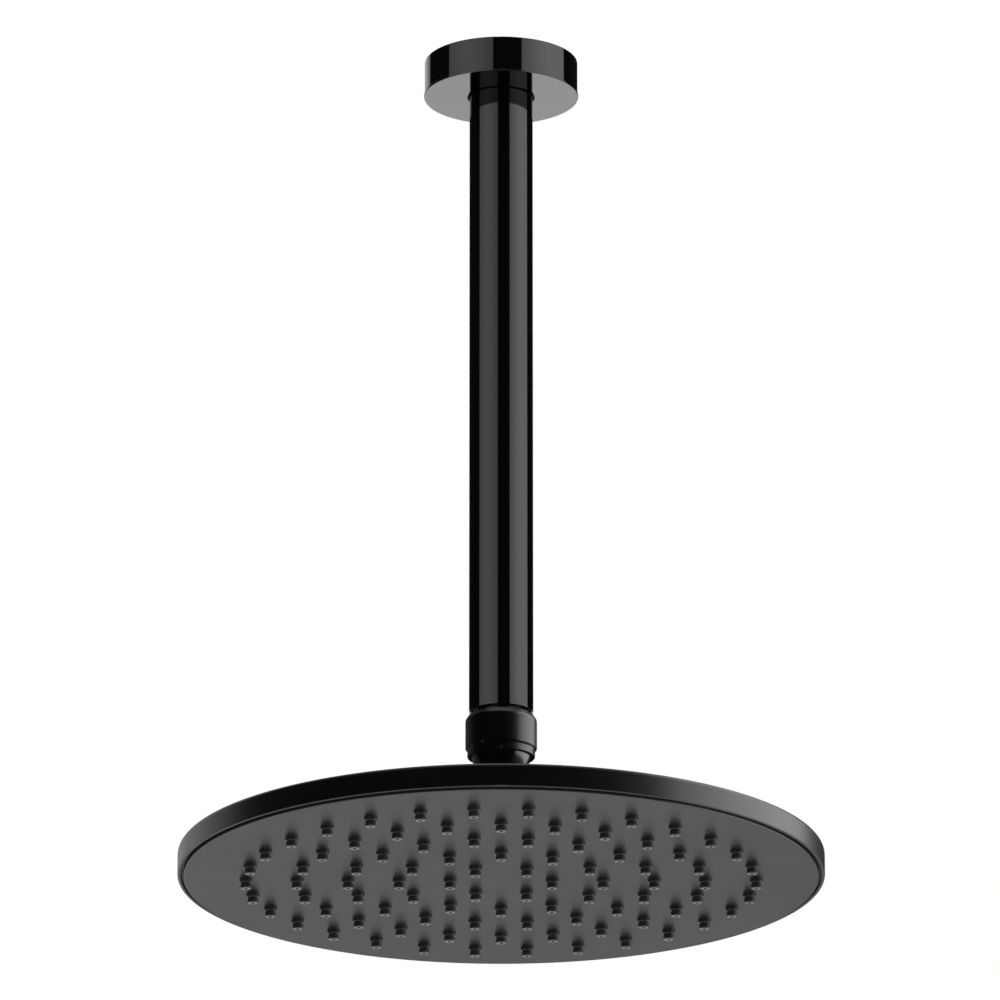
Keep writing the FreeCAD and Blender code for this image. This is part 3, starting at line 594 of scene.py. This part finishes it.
class SHOWER_OT_arm_tube(bpy.types.Operator):
    """Turn the straight tube of the arm"""
    bl_idname = "shower.arm_tube"
    bl_label = "Arm Tube"

    def execute(self, context):
        sizes = context.scene.shower_arm
        outer, low, high = reach("arm_tube")
        bore = outer - sizes.tube_wall
        section = HalfSection(bore, low).to(outer, low, FIRM_EDGE).to(outer, high, LIGHT_EDGE)
        section.to(bore, high)
        finished(section.turned(steps=160), "arm_tube_turned", "arm", "gloss_black", ["arm_tube"])
        return {"FINISHED"}


class SHOWER_OT_pipe_threads(bpy.types.Operator):
    """Turn the inlet and outlet spigots and cut their pipe threads"""
    bl_idname = "shower.pipe_threads"
    bl_label = "Pipe Threads"

    def execute(self, context):
        sizes = context.scene.shower_arm
        tube, tube_low, tube_high = reach("arm_tube")
        bore = sizes.water_bore
        plug = tube - sizes.tube_wall - BRAZE_GAP
        low, high = reach("inlet_spigot")[1:]
        thread_end = sizes.inlet_length
        nose = sizes.nose_radius
        groove, half = high - 1.8 * MM, 0.9 * MM
        groove_floor = nose - 0.9 * MM
        section = HalfSection(bore, low).to(plug, low, SOFT_EDGE).to(plug, tube_high)
        section.to(tube, tube_high, BROKEN_EDGE).to(tube, 0.0, LIGHT_EDGE)
        section.to(sizes.thread_root, 0.0).to(sizes.thread_root, thread_end, FINE_EDGE)
        section.to(nose, thread_end + 0.4 * MM).to(nose, groove - half, KEEN_EDGE)
        section.to(groove_floor, groove - half).to(groove_floor, groove + half)
        section.to(nose, groove + half, KEEN_EDGE).to(nose, high, EASED_EDGE)
        section.to(bore, high, EASED_EDGE)
        mesh = self.threaded(section, sizes, 0.35 * MM, thread_end - 0.1 * MM)
        finished(mesh, "inlet_thread", "arm", "bare_brass", ["inlet_spigot"])

        low, high = reach("outlet_spigot")[1:]
        outlet_wall = 2.06 * MM
        pocket = sizes.thread_crest - outlet_wall
        pocket_top = reach("flow_regulator")[2] + FIT_GAP
        section = HalfSection(pocket, low).to(sizes.thread_root, low, FINE_EDGE)
        section.to(sizes.thread_root, tube_low).to(plug, tube_low)
        section.to(plug, high, SOFT_EDGE).to(bore, high, EASED_EDGE).to(bore, pocket_top)
        section.to(pocket, pocket_top)
        mesh = self.threaded(section, sizes, low + 0.1 * MM, tube_low - 0.05 * MM)
        finished(mesh, "outlet_thread", "arm", "black_plated_brass", ["outlet_spigot"])
        return {"FINISHED"}

    def threaded(self, section, sizes, ridge_low, ridge_high):
        """Turn a spigot's section and cut its thread between two levels."""
        mesh = section.turned(steps=96, segments=2)
        pipe_thread(mesh, sizes.thread_crest, sizes.thread_root, sizes.thread_pitch,
                    ridge_low, ridge_high)
        tidy(mesh)
        return mesh


class SHOWER_OT_cover_flange(bpy.types.Operator):
    """Turn the cup that covers the ceiling hole"""
    bl_idname = "shower.cover_flange"
    bl_label = "Cover Flange"

    def execute(self, context):
        sizes = context.scene.shower_arm
        lip, low, high = reach("ceiling_flange")
        wall = lip - sizes.flange_lip
        inside = wall - sizes.flange_wall
        floor = low + sizes.flange_floor
        hub = sizes.flange_bore + sizes.hub_wall
        hub_top = low + sizes.hub_height
        lip_top = low + 0.9 * MM
        ring_radius, ring_low, ring_high = reach("flange_grip_ring")
        section = HalfSection(sizes.flange_bore, low).to(lip, low, EASED_EDGE)
        section.to(lip, lip_top, KEEN_EDGE).to(wall, lip_top)
        section.to(wall, high, FINE_EDGE).to(inside, high, FINE_EDGE).to(inside, floor)
        section.to(hub, floor).to(hub, hub_top, EASED_EDGE)
        section.to(sizes.flange_bore, hub_top, FINE_EDGE)
        section.to(sizes.flange_bore, ring_high).to(ring_radius, ring_high)
        section.to(ring_radius, ring_low).to(sizes.flange_bore, ring_low)
        section.ease_first(LIGHT_EDGE)
        finished(section.turned(steps=192), "cover_flange", "flange", "gloss_black",
                 ["ceiling_flange"])
        return {"FINISHED"}


class SHOWER_OT_swivel_nut(bpy.types.Operator):
    """Turn the nut with its collar and spherical lip"""
    bl_idname = "shower.swivel_nut"
    bl_label = "Swivel Nut"

    def execute(self, context):
        sizes = context.scene.shower_nut
        low, high = reach("swivel_nut")[1:]
        socket, outer, collar = sizes.socket_radius, sizes.body_radius, sizes.collar_radius
        step = BALL_CENTRE + 0.6 * MM
        lip = math.sqrt(socket ** 2 - (low - BALL_CENTRE) ** 2)
        open_angle = math.atan2(low - BALL_CENTRE, lip)
        section = HalfSection(socket, high).to(outer - sizes.chamfer_width, high, LIGHT_EDGE)
        section.to(outer, high - sizes.chamfer_height, ROUND_EDGE)
        section.to(outer, step, FINE_EDGE).to(collar, step - (outer - collar), BROKEN_EDGE)
        section.to(collar, low, ROUND_EDGE).to(lip, low)
        section.swing(0, BALL_CENTRE, -open_angle, steps=12)
        section.ease_first(FINE_EDGE)
        finished(section.turned(steps=144), "swivel_nut_turned", "swivel", "satin_black",
                 ["swivel_nut"])
        return {"FINISHED"}


class SHOWER_OT_ball_stud(bpy.types.Operator):
    """Turn the hollow ball with its stem, collar and journal"""
    bl_idname = "shower.ball_stud"
    bl_label = "Ball Stud"

    def execute(self, context):
        sizes = context.scene.shower_nut
        low = reach("ball_stud")[1]
        ball, bore, stem = sizes.ball_radius, sizes.ball_bore, sizes.stem_radius
        flat = BALL_CENTRE + sizes.ball_flat
        edge = math.sqrt(ball ** 2 - sizes.ball_flat ** 2)
        foot = math.sqrt(ball ** 2 - stem ** 2)
        sweep = math.asin(sizes.ball_flat / ball) + math.asin(foot / ball)
        collar_low = BALL_CENTRE - 21.6 * MM
        collar_high = collar_low + 1.9 * MM
        collar = stem + 1.5 * MM
        journal = sizes.journal_radius
        ring_radius, ring_low, ring_high = reach("stem_rings")
        groove, half = ring_radius - 1.5 * MM, 0.75 * MM
        section = HalfSection(bore, flat).to(edge, flat, EASED_EDGE)
        section.swing(0, BALL_CENTRE, -sweep, steps=40)
        section.corners.append((section.tip, WIDE_EDGE))
        section.to(stem, collar_high, SOFT_EDGE)
        section.to(collar, collar_high, EASED_EDGE).to(collar, collar_low, EASED_EDGE)
        section.to(journal, collar_low)
        for middle in (ring_high - half, ring_low + half):
            section.to(journal, middle + half).to(groove, middle + half)
            section.to(groove, middle - half).to(journal, middle - half)
        section.to(journal, low, ROUND_EDGE).to(bore, low, EASED_EDGE)
        section.ease_first(EASED_EDGE)
        finished(section.turned(steps=128), "ball_stud_turned", "ball", "black_plated_brass",
                 ["ball_stud"])
        return {"FINISHED"}


class SHOWER_OT_back_shell(bpy.types.Operator):
    """Turn the domed shell with its straight rim"""
    bl_idname = "shower.back_shell"
    bl_label = "Back Shell"

    def execute(self, context):
        sizes = context.scene.shower_head
        outer, low, high = reach("back_shell")
        wall = sizes.shell_wall
        rim_top = low + sizes.rim_height
        shoulder = outer - 1.0 * MM
        neck = sizes.boss_radius + FIT_GAP
        section = HalfSection(outer - wall, low).to(outer, low, FIRM_EDGE)
        section.to(outer, rim_top, WIDE_EDGE)
        section.to(shoulder, rim_top)
        section.bow(sizes.land_radius, high, sizes.dome_radius, steps=40)
        section.to(neck, high).to(neck, high - wall).to(sizes.land_radius, high - wall)
        section.bow(outer - wall, rim_top - wall, sizes.dome_radius, steps=40)
        section.ease_first(BROKEN_EDGE)
        finished(section.turned(steps=256), "back_shell_turned", "head", "satin_black",
                 ["back_shell"])
        return {"FINISHED"}


class SHOWER_OT_head_boss(bpy.types.Operator):
    """Turn the boss that carries the head on the journal"""
    bl_idname = "shower.head_boss"
    bl_label = "Head Boss"

    def execute(self, context):
        sizes = context.scene.shower_head
        flange, low, high = reach("head_boss")
        land = reach("back_shell")[2] - sizes.shell_wall - FIT_GAP
        bore = context.scene.shower_nut.journal_radius + RUNNING_GAP
        section = HalfSection(bore, low).to(flange, low, EASED_EDGE).to(flange, land, EASED_EDGE)
        section.to(sizes.boss_radius, land).to(sizes.boss_radius, high, WIDE_EDGE)
        section.to(bore, high, EASED_EDGE)
        section.ease_first(EASED_EDGE)
        finished(section.turned(steps=128, segments=4), "head_boss_turned", "head",
                 "satin_black", ["head_boss"])
        return {"FINISHED"}


class SHOWER_OT_face_plate(bpy.types.Operator):
    """Cut the face plate with a hole for each nozzle and turn up its edge"""
    bl_idname = "shower.face_plate"
    bl_label = "Face Plate"

    def execute(self, context):
        sizes = context.scene.shower_head
        outer, low, high = reach("face_plate")
        fold = 0.4 * MM
        part_fold = fold * 0.3
        plain_border = 3 * MM
        bm = bmesh.new()
        for ring in range(1, sizes.rings + 1):
            hole = add_ring_of_edges(bm, sizes.hole_radius, low, 28, sizes.ring_pitch * ring)
            repeat_round(bm, hole, sizes.first_ring * ring)
        add_ring_of_edges(bm, outer - fold, low, 256)
        bmesh.ops.triangle_fill(bm, use_beauty=True, edges=bm.edges[:], normal=(0, 0, -1))
        rim = loops_at(bm, low, outer - 2 * fold)
        for out, up in ((outer - part_fold, low + part_fold), (outer, low + fold), (outer, high)):
            grown = bmesh.ops.extrude_edge_only(bm, edges=rim)["geom"]
            verts = [item for item in grown if isinstance(item, bmesh.types.BMVert)]
            rim = [item for item in grown if isinstance(item, bmesh.types.BMEdge)
                   and all(vert in verts for vert in item.verts)]
            for vert in verts:
                vert.co.xy *= out / vert.co.xy.length
                vert.co.z = up
        bmesh.ops.recalc_face_normals(bm, faces=bm.faces[:])
        if max(bm.faces, key=lambda face: face.calc_area()).normal.z > 0:
            bmesh.ops.reverse_faces(bm, faces=bm.faces[:])
        bmesh.ops.solidify(bm, geom=bm.faces[:], thickness=sizes.face_sheet)
        tidy(bm)
        lips = [edge for edge in bm.edges
                if all(abs(vert.co.z - low) < SAME_LEVEL for vert in edge.verts)
                and max(vert.co.xy.length for vert in edge.verts) < outer - plain_border
                and any(abs(face.normal.z) < 0.5 for face in edge.link_faces)]
        bmesh.ops.bevel(bm, geom=lips, offset=0.1 * MM, offset_type="OFFSET", affect="EDGES",
                        segments=2, profile=0.5, material=-1)
        finished(bm, "face_plate_drilled", "head", "satin_face", ["face_plate"])
        return {"FINISHED"}


class SHOWER_OT_rim_seal(bpy.types.Operator):
    """Run the sealing bead round the face plate"""
    bl_idname = "shower.rim_seal"
    bl_label = "Rim Seal"

    def execute(self, context):
        outer, low, high = reach("rim_seal")
        inner = reach("face_plate")[0]
        hollow = 0.25 * MM
        section = HalfSection(inner, low).to((inner + outer) / 2, low + hollow, EASED_EDGE)
        section.to(outer, low).to(outer, high, EASED_EDGE).to(inner, high, EASED_EDGE)
        finished(section.turned(steps=256), "rim_seal_bead", "head", "seal_rubber",
                 ["rim_seal"])
        return {"FINISHED"}


class SHOWER_OT_nozzle_mat(bpy.types.Operator):
    """Mould the mat with its rings of hollow nozzles"""
    bl_idname = "shower.nozzle_mat"
    bl_label = "Nozzle Mat"

    def execute(self, context):
        sizes = context.scene.shower_head
        top = reach("nozzle_mat")[2]
        under = top - sizes.mat_sheet
        bm = bmesh.new()
        for ring in range(1, sizes.rings + 1):
            added = self.add_nozzle(bm, sizes, sizes.ring_pitch * ring, under)
            repeat_round(bm, added, sizes.first_ring * ring)
        for level in (under, top):
            stud_hole = add_ring_of_edges(bm, sizes.stud_hole, level, 16, sizes.stud_circle)
            repeat_round(bm, stud_hole, sizes.studs)
            add_ring_of_edges(bm, sizes.mat_radius, level, 192)
        wires = [edge for edge in bm.edges if not edge.link_faces]
        for level in (under, top):
            bmesh.ops.triangle_fill(bm, use_beauty=True, edges=loops_at(bm, level),
                                    normal=(0, 0, 1))
        outline = [edge for edge in wires
                   if edge.verts[0].co.xy.length > sizes.mat_radius - MM]
        bmesh.ops.bridge_loops(bm, edges=outline)
        near_hole = sizes.stud_hole + 0.2 * MM
        for hole in range(sizes.studs):
            angle = FULL_TURN * hole / sizes.studs
            middle = Vector((math.cos(angle), math.sin(angle))) * sizes.stud_circle
            pair = [edge for edge in wires if (edge.verts[0].co.xy - middle).length < near_hole]
            bmesh.ops.bridge_loops(bm, edges=pair)
        tidy(bm)
        finished(bm, "nozzle_mat_moulded", "head", "nozzle_silicone", ["nozzle_mat"])
        return {"FINISHED"}

    def add_nozzle(self, bm, sizes, out, under):
        """Add one hollow nozzle to the mat, and return its points."""
        tip, top = reach("nozzle_mat")[1:]
        foot_wall, tip_wall = out + sizes.nozzle_base, out + sizes.nozzle_tip
        jet_wall, inlet_wall = out + sizes.jet_radius, out + 1.5 * MM
        step = reach("face_plate")[1] - sizes.foot_height
        jet_end, funnel_end = tip + 2 * MM, tip + 3.5 * MM
        section = HalfSection(foot_wall, under).to(foot_wall, step, FINE_EDGE)
        section.to(tip_wall, step - 0.15 * MM).to(tip_wall, tip, SOFT_EDGE)
        section.to(jet_wall, tip, JET_EDGE).to(jet_wall, jet_end)
        section.to(inlet_wall, funnel_end).to(inlet_wall, top)
        nozzle = section.turned(steps=24, centre=(out, 0, 0), closed=False)
        carrier = bpy.data.meshes.new("nozzle_carrier")
        nozzle.to_mesh(carrier)
        nozzle.free()
        before = set(bm.verts)
        bm.from_mesh(carrier)
        bpy.data.meshes.remove(carrier)
        return [vert for vert in bm.verts if vert not in before]


class SHOWER_OT_inner_parts(bpy.types.Operator):
    """Give the rings, washers and clamping parts of the frame their finishes"""
    bl_idname = "shower.inner_parts"
    bl_label = "Inner Parts"

    def execute(self, context):
        for part in frame["record"]["subparts"]:
            node = frame["nodes"][part["node"]]
            if node.hide_render:
                continue
            node.data.materials.clear()
            node.data.materials.append(finish(part["material_slot"]))
        return {"FINISHED"}


# ---- stage -------------------------------------------------------------------------------------

STARTING_OBJECTS = ("Cube", "Light", "Camera")

ACROSS, DOWN = 0.0, -math.pi / 2

# Name, azimuth in degrees, distance, level, width, height, glow, tilt, and the pieces it lights.
LAMPS = (
    ("gloss_left", -48.5, 1.5, 0.3, 2.22, 3.4, 1.4, ACROSS, "gloss_pieces"),
    ("gloss_right", 70.0, 1.5, 0.3, 2.43, 3.4, 2.3, ACROSS, "gloss_pieces"),
    ("gloss_far_left", -153.0, 1.5, 0.3, 0.92, 3.4, 0.9, ACROSS, "flange_pieces"),
    ("gloss_under", 180.0, 2.8, -1.1, 3.0, 1.6, 1.75, ACROSS, "gloss_pieces"),
    ("satin_right", 96.0, 1.5, 0.3, 2.3, 3.4, 3.4, ACROSS, "satin_pieces"),
    ("satin_left", -138.0, 1.5, 0.3, 1.9, 3.4, 0.75, ACROSS, "head_and_nozzles"),
    ("joint_left", -138.0, 1.5, 0.3, 1.9, 3.4, 0.12, ACROSS, "joint_pieces"),
    ("face_under", 180.0, 1.4, -0.85, 1.8, 0.8, 0.48, ACROSS, "head_pieces"),
    ("nozzle_under", 180.0, 1.4, -0.85, 1.8, 0.8, 1.6, ACROSS, "nozzle_pieces"),
    ("overhead", 0.0, 0.0, 2.4, 2.2, 2.2, 1.3, DOWN, None),
    ("wide_overhead", 0.0, 0.0, 2.6, 6.0, 6.0, 0.5, DOWN, "head_and_nozzles"),
)

# Where a lamp's glow begins and ends to fall, from its middle, and what is left at its edge.
LAMP_MIDDLE, LAMP_EDGE, EDGE_GLOW = 0.08, 0.5, 0.6

CAMERA_LENS = 340.35
CAMERA_SENSOR = 36.0
CAMERA_PLACE = (-0.00045, -3.5132, -1.3291)
CAMERA_PITCH = math.radians(18.2126)
CAMERA_REACH = 100.0

FLOOR_RADIUS, FLOOR_LEVEL = 3.0, -2.1
FLOOR_SHADE = 0.985

# How bright the surroundings are in reflections, for dull surfaces and to the camera.
REFLECTED_GLOW, FILL_GLOW, SEEN_GLOW = 0.012, 1.1, 1.0


def piece_group(name, pieces):
    """A collection that only says which pieces a lamp lights."""
    group = bpy.data.collections.new(name)
    for piece in pieces:
        group.objects.link(piece)
    return group


def soft_lamp(name, azimuth, distance, level, width, height, glow, tilt, receivers):
    """A wide soft lamp that faces the arm, brighter along its middle."""
    lamp = bpy.data.lights.new(name, "AREA")
    lamp.shape = "RECTANGLE"
    lamp.size = width
    lamp.size_y = height
    lamp.energy = glow * math.pi * width * height
    lamp.use_nodes = True
    nodes, links = lamp.node_tree.nodes, lamp.node_tree.links
    split = nodes.new("ShaderNodeSeparateXYZ")
    links.new(nodes.new("ShaderNodeNewGeometry").outputs["Parametric"], split.inputs["Vector"])
    away = calc(nodes, links, "ABSOLUTE", calc(nodes, links, "SUBTRACT", split.outputs["X"], 0.5))
    fall = nodes.new("ShaderNodeMapRange")
    fall.inputs["From Min"].default_value = LAMP_MIDDLE
    fall.inputs["From Max"].default_value = LAMP_EDGE
    fall.inputs["To Min"].default_value = 1.0
    fall.inputs["To Max"].default_value = EDGE_GLOW
    links.new(away, fall.inputs["Value"])
    links.new(fall.outputs["Result"], nodes["Emission"].inputs["Strength"])
    holder = bpy.data.objects.new(name, lamp)
    bpy.context.scene.collection.objects.link(holder)
    turn = math.radians(azimuth)
    holder.location = (math.sin(turn) * distance, -math.cos(turn) * distance, level)
    holder.rotation_euler = (math.pi / 2 + tilt, 0, turn)
    holder.visible_camera = False
    if receivers:
        holder.light_linking.receiver_collection = receivers
        holder.visible_diffuse = False


class SHOWER_OT_stage(bpy.types.Operator):
    """Lay the pale floor, hang the soft lamps and set the camera"""
    bl_idname = "shower.stage"
    bl_label = "Stage"

    def execute(self, context):
        scene = context.scene
        for name in STARTING_OBJECTS:
            if name in bpy.data.objects:
                bpy.data.objects.remove(bpy.data.objects[name])
        groups = self.lit_groups()
        for *lamp, lights in LAMPS:
            soft_lamp(*lamp, groups.get(lights))

        bm = bmesh.new()
        bmesh.ops.create_circle(bm, cap_ends=True, radius=FLOOR_RADIUS, segments=96,
                                matrix=Matrix.Translation((0, 0, FLOOR_LEVEL)))
        mesh = bpy.data.meshes.new("pale_floor")
        bm.to_mesh(mesh)
        bm.free()
        floor = bpy.data.objects.new("pale_floor", mesh)
        scene.collection.objects.link(floor)
        mesh.materials.append(self.floor_material(scene.shower_finishes.floor_colour))
        floor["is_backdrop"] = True
        self.surroundings(scene)

        camera = bpy.data.objects.new("camera", bpy.data.cameras.new("camera"))
        scene.collection.objects.link(camera)
        camera.data.lens = CAMERA_LENS
        camera.data.sensor_width = CAMERA_SENSOR
        camera.data.clip_end = CAMERA_REACH
        camera.data.dof.use_dof = False
        camera.location = CAMERA_PLACE
        camera.rotation_euler = (math.pi / 2 + CAMERA_PITCH, 0, 0)
        scene.camera = camera
        scene.view_settings.view_transform = "Standard"
        return {"FINISHED"}

    def lit_groups(self):
        """Collections of the pieces that share their lamps, by name."""
        gloss, flange, head, nozzles, joint = [], [], [], [], []
        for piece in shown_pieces():
            body = body_of(piece)[0]
            if body in ("arm", "flange"):
                gloss.append(piece)
            elif piece.name == "nozzle_mat_moulded":
                nozzles.append(piece)
            elif body == "head":
                head.append(piece)
            else:
                joint.append(piece)
            if body == "flange":
                flange.append(piece)
        members = {
            "gloss_pieces": gloss,
            "flange_pieces": flange,
            "nozzle_pieces": nozzles,
            "head_pieces": head,
            "satin_pieces": head + nozzles + joint,
            "head_and_nozzles": head + nozzles,
            "joint_pieces": joint,
        }
        return {name: piece_group(name, pieces) for name, pieces in members.items()}

    def floor_material(self, tint):
        """Pale floor that can't be seen from below."""
        material = bpy.data.materials.new("pale_floor")
        material.use_nodes = True
        nodes, links = material.node_tree.nodes, material.node_tree.links
        shader = nodes["Principled BSDF"]
        shader.inputs["Roughness"].default_value = 0.9
        place = nodes.new("ShaderNodeTexCoord").outputs["Object"]
        tone = nodes.new("ShaderNodeMix")
        tone.data_type = "RGBA"
        tone.inputs["A"].default_value = (*[channel * FLOOR_SHADE for channel in tint], 1)
        tone.inputs["B"].default_value = (*tint, 1)
        links.new(noise(nodes, links, place, 3.0, 3.0), tone.inputs["Factor"])
        links.new(tone.outputs["Result"], shader.inputs["Base Color"])
        clear = nodes.new("ShaderNodeBsdfTransparent")
        choose = nodes.new("ShaderNodeMixShader")
        links.new(nodes.new("ShaderNodeNewGeometry").outputs["Backfacing"], choose.inputs["Fac"])
        links.new(shader.outputs["BSDF"], choose.inputs[1])
        links.new(clear.outputs["BSDF"], choose.inputs[2])
        links.new(choose.outputs["Shader"], nodes["Material Output"].inputs["Surface"])
        return material

    def surroundings(self, scene):
        """White to the camera, an even fill for dull surfaces, and nearly dark in reflections."""
        world = bpy.data.worlds.new("surroundings")
        world.use_nodes = True
        scene.world = world
        nodes, links = world.node_tree.nodes, world.node_tree.links
        path = nodes.new("ShaderNodeLightPath")
        dark = nodes["Background"]
        dark.inputs["Color"].default_value = (1, 1, 1, 1)
        dark.inputs["Strength"].default_value = REFLECTED_GLOW
        seen = dark.outputs["Background"]
        for flag, strength in (("Is Diffuse Ray", FILL_GLOW), ("Is Camera Ray", SEEN_GLOW)):
            bright = nodes.new("ShaderNodeBackground")
            bright.inputs["Color"].default_value = (1, 1, 1, 1)
            bright.inputs["Strength"].default_value = strength
            choose = nodes.new("ShaderNodeMixShader")
            links.new(path.outputs[flag], choose.inputs["Fac"])
            links.new(seen, choose.inputs[1])
            links.new(bright.outputs["Background"], choose.inputs[2])
            seen = choose.outputs["Shader"]
        links.new(seen, nodes["World Output"].inputs["Surface"])


PIECE_OPERATORS = (
    SHOWER_OT_arm_tube,
    SHOWER_OT_pipe_threads,
    SHOWER_OT_cover_flange,
    SHOWER_OT_swivel_nut,
    SHOWER_OT_ball_stud,
    SHOWER_OT_back_shell,
    SHOWER_OT_head_boss,
    SHOWER_OT_face_plate,
    SHOWER_OT_rim_seal,
    SHOWER_OT_nozzle_mat,
    SHOWER_OT_inner_parts,
    SHOWER_OT_stage,
)
SIZE_GROUPS = {
    "shower_arm": ShowerArmSizes,
    "shower_nut": ShowerNutSizes,
    "shower_head": ShowerHeadSizes,
    "shower_finishes": ShowerFinishes,
}


class SHOWER_PT_panel(bpy.types.Panel):
    """Lists the shower's sizes and the operators that make its pieces"""
    bl_idname = "SHOWER_PT_panel"
    bl_label = "Ceiling Rain Shower"
    bl_space_type = "VIEW_3D"
    bl_region_type = "UI"
    bl_category = "Shower"

    def draw(self, context):
        for name, group in SIZE_GROUPS.items():
            box = self.layout.box()
            box.label(text=group.__doc__)
            for prop in group.__annotations__:
                box.prop(getattr(context.scene, name), prop)
        for operator in PIECE_OPERATORS:
            self.layout.operator(operator.bl_idname)


def register():
    """Add the sizes, the operators and the panel to the program."""
    for group in SIZE_GROUPS.values():
        bpy.utils.register_class(group)
    for name, group in SIZE_GROUPS.items():
        setattr(bpy.types.Scene, name, PointerProperty(type=group))
    for operator in PIECE_OPERATORS:
        bpy.utils.register_class(operator)
    bpy.utils.register_class(SHOWER_PT_panel)


def unregister():
    """Remove the panel, the operators and the sizes."""
    bpy.utils.unregister_class(SHOWER_PT_panel)
    for operator in reversed(PIECE_OPERATORS):
        bpy.utils.unregister_class(operator)
    for name, group in SIZE_GROUPS.items():
        delattr(bpy.types.Scene, name)
        bpy.utils.unregister_class(group)


def main():
    """Make every piece and the stage."""
    register()
    for operator in PIECE_OPERATORS:
        getattr(bpy.ops.shower, operator.bl_idname.split(".")[1])()


if __name__ == "__main__":
    main()
